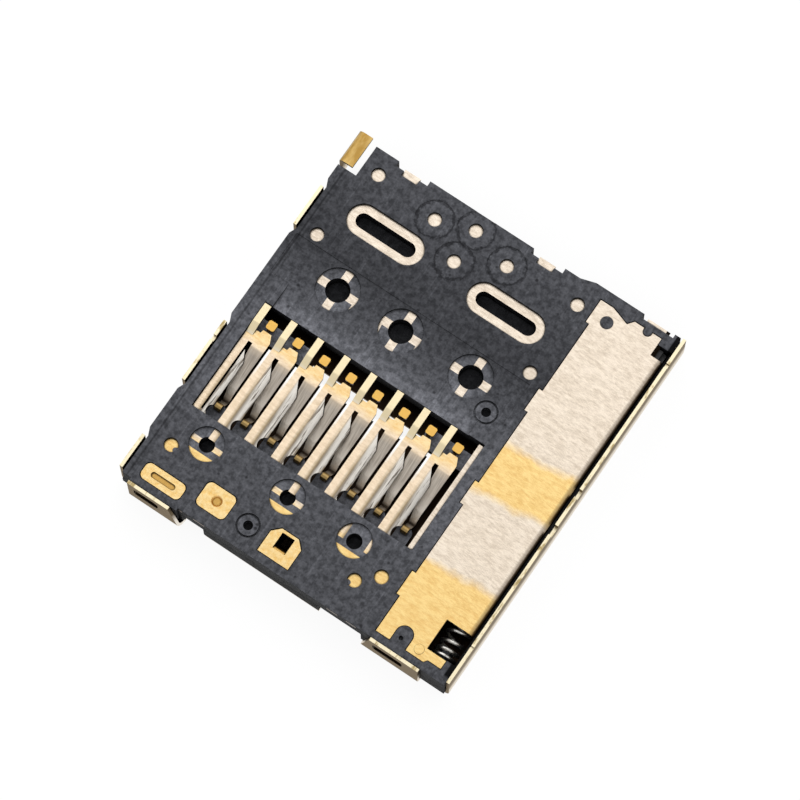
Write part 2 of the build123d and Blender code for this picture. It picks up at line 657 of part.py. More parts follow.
# Lock leaf on the slider's card side
card_edge = CARD_LEFT + CARD_WIDE
with BuildPart() as lock_leaf:
    leaf_line = ((SLIDER_LEFT + 0.5, LEAF_ROOT), (SLIDER_LEFT - LEAF / 2, LEAF_ROOT),
                 (SLIDER_LEFT - LEAF / 2, LEAF_ROOT + 1.4), (card_edge - 0.14, LEAF_BUMP),
                 (SLIDER_LEFT - LEAF, LEAF_BUMP + 0.5))
    extrude(folded(level(LEAF_FLOOR), leaf_line, LEAF, 0.1), amount=LEAF_HEIGHT)
save(lock_leaf, "lock_leaf")

# Card slider, with the heart-shaped groove in its lower face
pin_reach = PIN_LENGTH * sin(radians(PIN_SWING))
groove_width = PIN_WIRE + 2 * PIN_GAP
rest = (PIN_X, PIN_TIP_Y)
pressed = (PIN_X + pin_reach, PIN_TIP_Y + TRAVEL)
locked = (PIN_X, PIN_TIP_Y + TRAVEL - LOCK_BACK)
released = (PIN_X - pin_reach, PIN_TIP_Y + TRAVEL)
runner_floor = SHEET + RUNNING
with BuildPart() as card_slider:
    block(SLIDER_LEFT, SLIDER_RIGHT - FRAME, SLIDER_REAR, SLIDER_FRONT, SLIDER_FLOOR, SLIDER_TOP)
    block(SLIDER_LEFT, SLIDER_RIGHT, SLIDER_REAR, SLIDER_FRONT, SLIDER_FLOOR, SHOULDER_TOP)
    for x in (SLIDER_LEFT, SLIDER_RIGHT - RUNNER):
        block(x, x + RUNNER, SLIDER_REAR, SLIDER_FRONT, runner_floor, SLIDER_FLOOR)
    pusher_rear = PUSHER_FRONT - PUSHER_THICK
    pusher = ((PUSHER_LEFT, pusher_rear), (SHANK_RIGHT, pusher_rear), (SHANK_RIGHT, SLIDER_REAR + 0.6),
              (SHANK_LEFT, SLIDER_REAR + 0.6), (SHANK_LEFT, PUSHER_FRONT), (PUSHER_LEFT, PUSHER_FRONT))
    extrude(outline(level(runner_floor), pusher), amount=CEILING - RUNNING - runner_floor)
    with BuildSketch(level(SLIDER_FLOOR)):
        for start, end in ((rest, pressed), (pressed, locked), (locked, released), (released, rest)):
            lane(start, end, groove_width)
    extrude(amount=GROOVE_CEILING - SLIDER_FLOOR, mode=Mode.SUBTRACT)
    with BuildSketch(back(SLIDER_REAR)):
        with Locations((SPRING_X, SPRING_Z)):
            RegularPolygon(SPIGOT_RADIUS, SPRING_SIDES)
    extrude(amount=0.5)
    add(lock_leaf.part, mode=Mode.SUBTRACT)
save(card_slider, "card_slider")

# Cover: a folded tray with rims, rear flanges, a solder foot and windows
half_sheet = SHEET / 2
fold_radius = BEND + half_sheet


def flange(spec, inset):
    """Rear flange that leans out of the sheet, with its slot."""
    left, right, slant, slot_left, slot_right = spec
    lean = -slant if left > WIDTH / 2 else 0
    spread = slant if left < WIDTH / 2 else 0
    y = inset + half_sheet
    with BuildPart() as piece:
        path = ((inset + FLANGE_RUN, half_sheet), (y, half_sheet), (y, HEIGHT))
        extrude(folded(side(0), path, SHEET, fold_radius), amount=WIDTH)
        front = ((left, HEIGHT), (right, HEIGHT), (right + spread, 0), (left + lean, 0))
        extrude(outline(back(0), front), amount=-2 * FLANGE_RUN, mode=Mode.INTERSECT)
        with BuildSketch(back(0)):
            with Locations(((slot_left + slot_right) / 2, SLOT_Z)):
                RectangleRounded(slot_right - slot_left, SLOT_HEIGHT, FRAME)
        extrude(amount=-FOLD, mode=Mode.SUBTRACT)
    return piece.part


with BuildPart() as cover:
    walls = ((half_sheet, HEIGHT), (half_sheet, half_sheet),
             (WIDTH - half_sheet, half_sheet), (WIDTH - half_sheet, HEIGHT))
    extrude(folded(back(DEPTH), walls, SHEET, fold_radius), amount=DEPTH - FOLD)
    block(RELIEFS[0][1], RELIEFS[1][0], SHEET_REAR, FOLD + CUT, 0, SHEET)
    add(flange(LEFT_FLANGE, 0))
    add(flange(RIGHT_FLANGE, RIGHT_FLANGE_INSET))
    for left, right in RELIEFS:
        block(left, right, 0, RELIEF_FRONT, -CUT, SHEET + CUT, Mode.SUBTRACT)
    # the left wall is cut down between its rims, and the foot stands at its front end
    block(-CUT, SHEET + CUT, FOLD - CUT, DEPTH + CUT, LOW_WALL, HEIGHT + CUT, Mode.SUBTRACT)
    for low, high in LEFT_RIMS:
        block(0, SHEET, max(low, FOLD), high, LOW_WALL - CUT, HEIGHT)
    block(-CUT, SHEET + CUT, RIM_NICK - CUT, RIM_NICK + CUT, HEIGHT - 0.15, HEIGHT + CUT, Mode.SUBTRACT)
    block(-CUT, FOOT_BAY_RIGHT + CUT, FOOT_REAR, DEPTH + CUT, -CUT, FOOT_WALL_LOW, Mode.SUBTRACT)
    foot = ((half_sheet, LOW_WALL), (half_sheet, HEIGHT - half_sheet),
            (FOOT_REACH + CUT, HEIGHT - half_sheet))
    extrude(folded(back(DEPTH), foot, SHEET, 0.16), amount=DEPTH - FOOT_REAR)
    for start, length, drop in WALL_NOTCHES:
        block(WIDTH - SHEET - CUT, WIDTH + CUT, start, start + length, HEIGHT - drop, HEIGHT + CUT,
              Mode.SUBTRACT)
    block(*ROOT_WINDOW, -CUT, SHEET + CUT, Mode.SUBTRACT)
    # a tongue holds the cam pin down
    tongue_front = PIN_PIVOT_Y - 1.24
    tongue_rear = tongue_front - 2.6
    half_slot = PIN_TONGUE / 2 + PIN_TONGUE_SLIT
    block(PIN_X - half_slot, PIN_X + half_slot, tongue_rear, tongue_front, -CUT, SHEET + CUT,
          Mode.SUBTRACT)
    tongue = ((tongue_front + 0.2, half_sheet), (tongue_front - 0.2, half_sheet),
              (tongue_rear + 0.4, half_sheet + PIN_TONGUE_LIFT),
              (tongue_rear + PIN_TONGUE_SLIT, half_sheet))
    extrude(folded(side(PIN_X), tongue, SHEET, 0.3), amount=PIN_TONGUE / 2, both=True)
save(cover, "cover")

# Housing: the moulding that holds everything
LEFT = SHEET + 0.01
RIGHT = WIDTH - SHEET - 0.01
CHAMBER_LEFT = SLIDER_LEFT - 0.1
CHAMBER_RIGHT = RIGHT - 0.1
housing_plan = [
    (LEFT, HOUSING_REAR), (RIGHT, HOUSING_REAR), (RIGHT, FRONT), (POST_RIGHT, FRONT),
    (POST_RIGHT, POST_FRONT), (POST_LEFT, POST_FRONT), (POST_LEFT, FRONT), (NOSE_RIGHT, FRONT),
    (NOSE_RIGHT, DEPTH), (NOSE_LEFT + NOSE_RAMP, DEPTH), (NOSE_LEFT, FRONT),
]
for left in reversed(STUB_NOTCHES):
    right = left + NOTCH_WIDTH
    inside = FRONT - NOTCH_DEPTH
    housing_plan += [(right, FRONT), (right, inside), (left, inside), (left, FRONT)]
housing_plan += [(FOOT_BAY_RIGHT, FRONT), (FOOT_BAY_RIGHT, FOOT_BAY_REAR), (LEFT, FOOT_BAY_REAR)]
with BuildPart() as housing:
    extrude(outline(level(SHEET), housing_plan), amount=DECK - SHEET)
    low_edges = housing.faces().sort_by(Axis.Z)[0].edges()
    by_x = low_edges.sort_by(Axis.X)
    chamfer([by_x[0], by_x[-1], low_edges.sort_by(Axis.Y)[0]], BEND + 0.02)
    # the deck reaches over the cut-down wall, and steps back beside each rim
    block(LEDGE_LEFT, LEFT + CUT, HOUSING_REAR, FOOT_BAY_REAR, LOW_WALL + RUNNING, DECK)
    for low, high in LEFT_RIMS:
        rim_bay = ((-CUT, low - RIM_SLOPE), (LEDGE_LEFT, low - RIM_SLOPE), (RIM_POCKET, low - RUNNING),
                   (RIM_POCKET, high + RUNNING), (LEDGE_LEFT, high + RIM_SLOPE), (-CUT, high + RIM_SLOPE))
        extrude(outline(level(LOW_WALL), rim_bay), amount=DECK - LOW_WALL, mode=Mode.SUBTRACT)
    block(LEFT_FLANGE[0], LEFT_FLANGE[1] + 0.25, SHEET + FIT, HOUSING_REAR, FOLD + 0.2, DECK)
    # card space, with the slider's chamber beside it
    block(CARD_LEFT - RUNNING, CHAMBER_LEFT, REAR_WALL, DEPTH + CUT, SHEET, CEILING, Mode.SUBTRACT)
    block(CHAMBER_LEFT - CUT, SHANK_RIGHT + RUNNING, REAR_WALL, SPRING_SEAT + CUT, SHEET, CEILING,
          Mode.SUBTRACT)
    block(CHAMBER_LEFT - CUT, CHAMBER_RIGHT, SPRING_SEAT, CHAMBER_FRONT, SHEET, PLATE_FLOOR,
          Mode.SUBTRACT)
    block(SPRING_WINDOW_LEFT - FIT, CHAMBER_RIGHT, SPRING_SEAT, SPRING_WINDOW_FRONT + FIT,
          PLATE_FLOOR, DECK, Mode.SUBTRACT)
    corner_x = PLATE_RIGHT - 0.51
    block(corner_x, CHAMBER_RIGHT, LIP_FRONT - RUNNING, CHAMBER_FRONT, PLATE_FLOOR, DECK, Mode.SUBTRACT)
    block(PLATE_RIGHT - PLATE_LIP - FIT, RIGHT + CUT, SPRING_SEAT, CHAMBER_FRONT, PLATE_FLOOR - FIT, DECK,
          Mode.SUBTRACT)
    extrude(plate_face(FIT), amount=DECK - PLATE_FLOOR, mode=Mode.SUBTRACT)
    block(CARRIER_TAB[0] - FIT, CARRIER_TAB[1] + FIT, LIP_FRONT, DEPTH + CUT, PLATE_FLOOR,
          PLATE_FLOOR + CARRIER_TAB_THICK + FIT, Mode.SUBTRACT)
    # rear edge over the sheet's two reliefs
    for left, right in RELIEFS:
        block(left, right, 0, RELIEF_FRONT, SHEET, RELIEF_CEILING, Mode.SUBTRACT)
    # pockets of the carrier stubs
    for left in STUB_NOTCHES:
        start = left + STUB_INSET
        block(start, start + STUB_WIDTH, FRONT - STUB_POCKET, FRONT, FRAME_TOP, DECK, Mode.SUBTRACT)
    # contact window, with its low bars and shelves
    block(WINDOW_LEFT, WINDOW_RIGHT, WINDOW_REAR, WINDOW_FRONT, CEILING, DECK, Mode.SUBTRACT)
    for low, high in ((WINDOW_LEFT, WINDOW_LEFT + BARS[0]), (WINDOW_RIGHT - BARS[1], WINDOW_RIGHT)):
        block(low, high, BAR_REAR, BAR_FRONT, CEILING, CEILING + BAR_THICK)
    with BuildSketch(level(CEILING)):
        for k in range(CONTACTS):
            with Locations((FIRST_TAIL + (k + 0.5) * PITCH, SHELF_MIDDLE)):
                RectangleRounded(SHELF_WIDTH, SHELF_LENGTH, 0.2)
    extrude(amount=SHELF_THICK)
    sunk = DECK - SUNK_DROP
    bevel_front = WINDOW_FRONT + BEVEL_LENGTH
    bevel = ((WINDOW_FRONT - FIT, DECK + CUT), (WINDOW_FRONT - FIT, sunk - BEVEL_DROP),
             (bevel_front, sunk), (bevel_front, DECK + CUT))
    extrude(outline(side(BEVEL_LEFT), bevel), amount=BEVEL_RIGHT - BEVEL_LEFT, mode=Mode.SUBTRACT)
    block(SUNK_LEFT, SUNK_RIGHT, bevel_front, SUNK_FRONT, sunk, DECK, Mode.SUBTRACT)
    # pockets of the inserts, contacts and pads
    for metal in [front_insert.part, rear_insert.part, *contacts]:
        add(metal, mode=Mode.SUBTRACT)
    for face in (rounded_face(OVAL_PAD, FIT), rounded_face(SQUARE_PAD, FIT), house_face(FIT)):
        extrude(face, amount=DECK - PAD_FLOOR, mode=Mode.SUBTRACT)
    block(*SQUARE_STUB, 0, SQUARE_PAD[1], PAD_FLOOR, PAD_FLOOR + STUB_THICK, Mode.SUBTRACT)
    leaf_room = LEAF_WIDTH / 2 + 0.08
    block(HOUSE_PAD[0] - leaf_room, HOUSE_PAD[0] + leaf_room, LEAF_REAR - FIT,
          LEAF_REAR + LEAF_WINDOW[1] + FIT, CEILING - CUT, PAD_FLOOR, Mode.SUBTRACT)
    # round ports, rings and targets, sunk to the metal and past it
    with BuildSketch(level(FRAME_TOP)):
        with Locations(*front_ports, *ringed_ports, *REAR_PORTS):
            Circle(PORT_RADIUS)
        with Locations(*ovals):
            SlotOverall(OVAL_LENGTH, OVAL_WIDTH)
        with Locations(*targets):
            Circle(TARGET_RADIUS)
        with Locations(*small_targets):
            Circle(SMALL_RADIUS)
    extrude(amount=DECK - FRAME_TOP, mode=Mode.SUBTRACT)
    with BuildSketch(level(DECK - RING_DROP)):
        with Locations(*ringed_ports):
            Circle(RING_RADIUS)
    extrude(amount=RING_DROP, mode=Mode.SUBTRACT)
    with BuildSketch(level(BLIND_FLOOR)):
        with Locations(*ovals):
            SlotOverall(OVAL_LENGTH - 2 * OVAL_RING, OVAL_WIDTH - 2 * OVAL_RING)
        with Locations(*targets):
            Circle(TARGET_HOLE)
        with Locations(*small_targets):
            Circle(SMALL_HOLE)
    extrude(amount=FRAME_TOP - BLIND_FLOOR, mode=Mode.SUBTRACT)
    with BuildSketch(level(DECK - BOSS_GROOVE_DEPTH)):
        with Locations(*BOSSES):
            Circle(BOSS_GROOVE)
            Circle(BOSS_RADIUS, mode=Mode.SUBTRACT)
    extrude(amount=BOSS_GROOVE_DEPTH, mode=Mode.SUBTRACT)
    with BuildSketch(level(DECK - BOSS_DEPTH)):
        with Locations(*BOSSES):
            Circle(BOSS_HOLE)
        with Locations((POST_SLOT[0] - 0.03, POST_SLOT[1] - 0.49)):
            RegularPolygon(0.09, SPRING_SIDES)
    extrude(amount=BOSS_DEPTH, mode=Mode.SUBTRACT)
    # hole and slot of the cam pin in the front wall
    with BuildSketch(level(SHEET)):
        with Locations((PIN_X, PIN_PIVOT_Y)):
            Circle(PIN_WIRE / 2 + FIT)
    extrude(amount=PIN_PIVOT_Z + FIT - SHEET, mode=Mode.SUBTRACT)
    half_slot = PIN_WIRE / 2 + 2 * FIT
    block(PIN_X - half_slot, PIN_X + half_slot, CHAMBER_FRONT - CUT, PIN_PIVOT_Y, SHEET,
          PIN_RUN_Z + PIN_WIRE / 2 + RUNNING, Mode.SUBTRACT)
    # stake through the base plate and the spigot inside the spring
    with BuildSketch(level(PLATE_FLOOR - CUT)):
        with Locations((STAKE[0], FRONT - STAKE[1])):
            Circle(STAKE_RADIUS - 0.01)
    extrude(amount=DECK - PLATE_FLOOR + CUT)
    spigot_length = 0.45
    with BuildSketch(back(SPRING_SEAT + spigot_length)):
        with Locations((SPRING_X, SPRING_Z)):
            RegularPolygon(SPIGOT_RADIUS, SPRING_SIDES)
    extrude(amount=spigot_length)
save(housing, "housing")
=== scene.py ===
"""Looks of a push-push memory card connector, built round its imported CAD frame.

The connector lies on its steel cover with the solder side up, as in the CAD frame: z = 0 is the
table and +y is the card entry. Objects are in metres. Places on the part, which the materials
read, are in millimetres.
"""

import math

import bpy
from bpy.props import FloatProperty, FloatVectorProperty, IntProperty, PointerProperty
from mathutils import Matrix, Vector


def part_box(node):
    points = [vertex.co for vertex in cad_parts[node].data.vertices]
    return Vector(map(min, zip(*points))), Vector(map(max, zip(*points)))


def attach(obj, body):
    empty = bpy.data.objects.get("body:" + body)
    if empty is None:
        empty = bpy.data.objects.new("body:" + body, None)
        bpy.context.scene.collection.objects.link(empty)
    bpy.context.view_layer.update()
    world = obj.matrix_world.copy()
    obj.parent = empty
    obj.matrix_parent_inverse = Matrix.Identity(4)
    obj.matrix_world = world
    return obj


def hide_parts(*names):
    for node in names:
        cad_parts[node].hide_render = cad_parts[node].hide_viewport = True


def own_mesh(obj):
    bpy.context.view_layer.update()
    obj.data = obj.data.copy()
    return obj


bl_info = {
    "name": "Memory Card Connector",
    "version": (1, 0, 0),
    "blender": (4, 5, 0),
    "location": "View3D > Sidebar > Connector",
    "description": "Finishes, push spring and studio of a push-push memory card connector",
    "category": "Object",
}

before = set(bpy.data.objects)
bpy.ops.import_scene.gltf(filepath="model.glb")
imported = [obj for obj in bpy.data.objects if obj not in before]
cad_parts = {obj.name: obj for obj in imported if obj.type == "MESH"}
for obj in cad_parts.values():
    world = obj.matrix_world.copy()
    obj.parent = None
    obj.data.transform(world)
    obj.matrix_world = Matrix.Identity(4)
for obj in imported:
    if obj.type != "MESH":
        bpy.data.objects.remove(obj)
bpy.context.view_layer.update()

MM = 0.001
CONTACTS = sorted(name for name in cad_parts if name.startswith("contact_"))

# Places on the part, in millimetres
EJECTOR_RINGS = ((-2.8, 6.205), (-1.4, 6.665), (-1.41, 5.325), (0.19, 6.205))
BLIND_BOSSES = ((2.50, 1.485), (-1.95, -6.325))
FIRST_STRIP = -5.79  # middle of the first contact's strip, along x
PITCH = 1.1  # from one contact to the next
HALF_RUN = 8.0  # a ramp along y runs from -8 to 8, a little past both ends of the part

# Studio, in metres
CAMERA_TARGET = Vector((0.15, -0.025, 1.85)) * MM
CAMERA_SHIFT = (-0.00508, 0.01231)  # puts the part where it is in the photograph's frame
KEY_PLACE, KEY_SIZE = (-0.2, 0.3, 0.42), 0.5
TOP_PLACE, TOP_SIZE = (0.02, 0.0, 0.5), 0.4
TABLE_HALF, TABLE_DROP = 1.5, 0.01 * MM

# Push spring
POINTS_PER_TURN = 28
END_PITCH = 0.5  # share of the mean pitch at the closed ends
START_ANGLE = math.radians(120)  # turns the coil until its wires cross the window as in the photo


def linear(hex_colour):
    """Linear RGBA of an sRGB hex colour."""
    channels = []
    for start in (1, 3, 5):
        value = int(hex_colour[start:start + 2], 16) / 255
        channels.append(value / 12.92 if value <= 0.04045 else ((value + 0.055) / 1.055) ** 2.4)
    return (*channels, 1.0)


def grey(value):
    """RGBA of a linear grey."""
    return (value, value, value, 1.0)


def add(tree, kind, inputs=None, stops=None, **settings):
    """Adds a node with its settings, its values or links by socket, and a ramp's stops."""
    node = tree.nodes.new(kind)
    for name, value in settings.items():
        setattr(node, name, value)
    for socket, value in (inputs or {}).items():
        if isinstance(value, bpy.types.Node):
            value = next(output for output in value.outputs if output.enabled)
        if isinstance(value, bpy.types.NodeSocket):
            tree.links.new(value, node.inputs[socket])
        else:
            node.inputs[socket].default_value = value
    if stops:
        elements = node.color_ramp.elements
        while len(elements) < len(stops):
            elements.new(1.0)
        for element, (position, colour) in zip(elements, stops):
            element.position = position
            element.color = colour
    return node


def new_material(name):
    """Empty material; returns it, its tree, the place in millimetres and the facing."""
    material = bpy.data.materials.new(name)
    material.use_nodes = True
    tree = material.node_tree
    tree.nodes.clear()
    given = add(tree, "ShaderNodeTexCoord").outputs
    place = add(tree, "ShaderNodeMapping",
                {"Vector": given["Object"], "Scale": (1 / MM, 1 / MM, 1 / MM)})
    return material, tree, place.outputs[0], given["Normal"]


def lay(tree, colour, finish, *limits):
    """Lays a finish over a colour where all limits hold.

    A limit is a place or a facing, the value at which the finish starts, and the value from
    which it is full.
    """
    share = 1.0
    for source, start, full in limits:
        within = add(tree, "ShaderNodeMapRange",
                     {"Value": source, "From Min": start, "From Max": full})
        share = add(tree, "ShaderNodeMath", {0: within, 1: share}, operation="MULTIPLY")
    return add(tree, "ShaderNodeMix", {0: share, 6: colour, 7: finish}, data_type="RGBA")


def paint_corner_shade(tree, colour, shade_colour):
    """Darkens metal within 0.1 mm of a wall with painted shade."""
    corner = add(tree, "ShaderNodeAmbientOcclusion", {"Distance": 0.1 * MM}, samples=8)
    share = add(tree, "ShaderNodeMapRange",
                {"Value": corner.outputs["AO"], "From Min": 0.85, "From Max": 0.55,
                 "To Max": 0.95})
    return add(tree, "ShaderNodeMix", {0: share, 6: colour, 7: linear(shade_colour)}, data_type="RGBA")


def finish_tree(tree, shader, bump_height, bump_depth):
    """Joins the shader to the output, with a bump whose depth is in metres."""
    bump = add(tree, "ShaderNodeBump", {"Height": bump_height, "Distance": bump_depth})
    tree.links.new(bump.outputs[0], shader.inputs["Normal"])
    add(tree, "ShaderNodeOutputMaterial", {"Surface": shader})


def dress(names, material):
    """Gives CAD nodes a finish."""
    for name in names:
        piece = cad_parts[name]
        if not piece.material_slots:
            piece.data.materials.append(material)
        for slot in piece.material_slots:
            slot.material = material


class ConnectorStudio(bpy.types.PropertyGroup):
    """Camera and light"""

    azimuth: FloatProperty(
        name="Azimuth", description="Camera's turn round the connector",
        default=math.radians(34.18), unit="ROTATION")
    elevation: FloatProperty(
        name="Elevation", description="Camera's height above the horizon",
        default=math.radians(74.88), unit="ROTATION")
    distance: FloatProperty(
        name="Distance", description="From the camera to the connector", default=0.16,
        unit="LENGTH")
    lens: FloatProperty(
        name="Focal length", description="Camera's focal length in millimetres", default=211.5)
    wall_level: FloatProperty(
        name="Upper walls", description="Radiance of the room's upper walls, where 1 is white",
        default=0.7)
    ceiling_level: FloatProperty(
        name="Ceiling", description="Radiance of the room's ceiling, where 1 is white",
        default=0.68)
    key_power: FloatProperty(
        name="Key light", description="Power in watts of the soft box opposite the camera",
        default=0.65)
    top_power: FloatProperty(
        name="Top light", description="Power in watts of the soft box overhead", default=0.03)


class ConnectorFinish(bpy.types.PropertyGroup):
    """Colours of the finishes"""

    resin: FloatVectorProperty(
        name="Resin", description="Moulded housing", subtype="COLOR", size=4,
        default=linear("#424347"))
    resin_pale: FloatVectorProperty(
        name="Pale resin", description="Lighter clouds in the housing", subtype="COLOR", size=4,
        default=linear("#5b5c61"))
    nickel: FloatVectorProperty(
        name="Nickel", description="Warm nickel plating", subtype="COLOR", size=4,
        default=linear("#f8ead8"))
    nickel_dim: FloatVectorProperty(
        name="Dim nickel", description="Darker grain of the nickel", subtype="COLOR", size=4,
        default=linear("#d8c8b4"))
    gold: FloatVectorProperty(
        name="Gold", description="Thin gold plating", subtype="COLOR", size=4,
        default=linear("#ffdf98"))
    gold_dim: FloatVectorProperty(
        name="Dim gold", description="Darker grain of the gold", subtype="COLOR", size=4,
        default=linear("#eec379"))
    gold_pale: FloatVectorProperty(
        name="Pale gold", description="Thinnest gold, on the contacts", subtype="COLOR", size=4,
        default=linear("#fce6b4"))
    # a painted highlight: cut edges that face up are bright cream
    steel: FloatVectorProperty(
        name="Steel", description="Cut edges of the cover", subtype="COLOR", size=4,
        default=linear("#fff2cf"))
    # painted shade and reflection: the cover's walls are dark brown-grey
    steel_side: FloatVectorProperty(
        name="Steel side", description="Rolled faces of the cover", subtype="COLOR", size=4,
        default=linear("#5d5244"))
    steel_pale: FloatVectorProperty(
        name="Pale steel side", description="Rolling lines on the cover's faces",
        subtype="COLOR", size=4, default=linear("#8a7d69"))
    arm: FloatVectorProperty(
        name="Arm", description="Bare spring arms of the contacts", subtype="COLOR", size=4,
        default=linear("#b0a598"))
    arm_pale: FloatVectorProperty(
        name="Pale arm", description="Streaks along the spring arms", subtype="COLOR", size=4,
        default=linear("#cfc5b8"))
    pad: FloatVectorProperty(
        name="Contact pad", description="Square pads in front of the contacts' roots",
        subtype="COLOR", size=4, default=linear("#ecbc63"))
    # worn gold, darkened in part with painted shade
    tip: FloatVectorProperty(
        name="Contact tip", description="Worn gold of the contacts' tips", subtype="COLOR",
        size=4, default=linear("#a58a5a"))
    # painted shade for the deep places of the contacts
    shade: FloatVectorProperty(
        name="Painted shade", description="Deep places of the contacts", subtype="COLOR", size=4,
        default=linear("#33261b"))


class ConnectorSpring(bpy.types.PropertyGroup):
    """Push spring"""

    turns: IntProperty(name="Turns", description="Turns of the push spring", default=11, min=3)
    wire: FloatProperty(
        name="Wire", description="Thickness of the spring's wire", default=0.14 * MM,
        unit="LENGTH", precision=6)
    wire_sides: IntProperty(
        name="Sides", description="Sides of the wire's section", default=12, min=6)


def moulding_material(finish):
    """Glass-filled liquid crystal polymer as moulded: matt, cloudy slate grey with fine pits.

    The eye sees clouds about a fifth of a millimetre wide, where the glass shows at the skin,
    faint drag lines, and rough rings that the ejector pins leave round the middle ports. Walls,
    the floors of deep holes and the corners are darkened nearly to black with painted shade.
    """
    material, tree, place, normal = new_material("moulded_slate_resin")
    x, y, z = add(tree, "ShaderNodeSeparateXYZ", {"Vector": place}).outputs
    face_z = add(tree, "ShaderNodeSeparateXYZ", {"Vector": normal}).outputs["Z"]
    clouds = add(tree, "ShaderNodeTexNoise",
                 {"Vector": place, "Scale": 4.5, "Detail": 4.0, "Roughness": 0.62})
    colour = add(tree, "ShaderNodeValToRGB", {"Fac": clouds.outputs["Fac"]},
                 [(0.38, finish.resin), (0.6, finish.resin_pale)])
    # glass grit, about 0.05 mm, drawn as coarse as a pixel of the picture
    grit = add(tree, "ShaderNodeTexNoise",
               {"Vector": place, "Scale": 13.0, "Detail": 2.0, "Roughness": 0.6})
    levels = [add(tree, "ShaderNodeMapRange",
                  {"Value": grit.outputs["Fac"], "From Min": 0.35, "From Max": 0.65,
                   "To Min": 0.84, "To Max": 1.16})]
    levels += skin_levels(tree, place, x, y)
    levels += ring_levels(tree, place, z)
    levels += painted_hollow_shade(tree, x, y, z, face_z)
    level = 1.0
    for factor in levels:
        level = add(tree, "ShaderNodeMath", {0: factor, 1: level}, operation="MULTIPLY")
    tinted = add(tree, "ShaderNodeVectorMath",
                 {0: colour.outputs["Color"], "Scale": level}, operation="SCALE")
    height = add(tree, "ShaderNodeMath", {0: grit.outputs["Fac"], 1: clouds.outputs["Fac"]},
                 operation="ADD")
    rough = add(tree, "ShaderNodeMapRange",
                {"Value": clouds.outputs["Fac"], "From Min": 0.3, "From Max": 0.7,
                 "To Min": 0.5, "To Max": 0.66})
    shader = add(tree, "ShaderNodeBsdfPrincipled",
                 {"Base Color": tinted, "Roughness": rough, "IOR": 1.45,
                  "Specular IOR Level": 0.05})
    finish_tree(tree, shader, height, 0.012 * MM)
    return material


def skin_levels(tree, place, x, y):
    """Brightness of the housing's skin: drag lines, shade along the part, pits, left margin."""
    # drag lines 0.1 mm wide and 3 mm long, aslant
    drag = add(tree, "ShaderNodeMapping",
               {"Vector": place, "Rotation": (0, 0, math.radians(-24)), "Scale": (9.0, 0.35, 1.0)})
    drag_lines = add(tree, "ShaderNodeTexNoise",
                     {"Vector": drag, "Scale": 1.0, "Detail": 3.0, "Roughness": 0.6})
    levels = [add(tree, "ShaderNodeMapRange",
                  {"Value": drag_lines.outputs["Fac"], "From Min": 0.56, "From Max": 0.7,
                   "To Min": 1.0, "To Max": 1.35})]
    # brightness by place along y: palest beside the window, with a painted highlight on the bevel
    # in front of it, darkest between the front ports; a ramp ends at 1, so it holds the levels'
    # halves
    shades = ((-7.4, 0.96), (-4.4, 1.04), (-3.0, 1.45), (0.2, 1.45), (0.7, 1.16), (1.5, 1.16),
              (1.8, 0.96), (3.2, 0.62), (4.4, 0.72), (7.0, 1.0))
    along = add(tree, "ShaderNodeMapRange",
                {"Value": y, "From Min": -HALF_RUN, "From Max": HALF_RUN})
    shade = add(tree, "ShaderNodeValToRGB", {"Fac": along},
                [((end + HALF_RUN) / (2 * HALF_RUN), grey(value / 2)) for end, value in shades])
    levels.append(add(tree, "ShaderNodeMath", {0: shade.outputs["Color"], 1: 2.0},
                      operation="MULTIPLY"))
    # pits 0.1 mm across, 0.8 mm apart
    pits = add(tree, "ShaderNodeTexVoronoi", {"Vector": place, "Scale": 1.3})
    levels.append(add(tree, "ShaderNodeMapRange",
                      {"Value": pits.outputs["Distance"], "From Min": 0.05, "From Max": 0.1,
                       "To Min": 0.4}))
    # two drag lines along the left edge
    margin = add(tree, "ShaderNodeMapRange", {"Value": x, "From Min": -6.6, "From Max": -6.0})
    levels.append(add(tree, "ShaderNodeValToRGB", {"Fac": margin},
                      [(0.3, grey(1.0)), (0.36, grey(0.55)), (0.42, grey(0.55)),
                       (0.48, grey(1.0)), (0.62, grey(0.78)), (0.7, grey(1.0))]))
    return levels


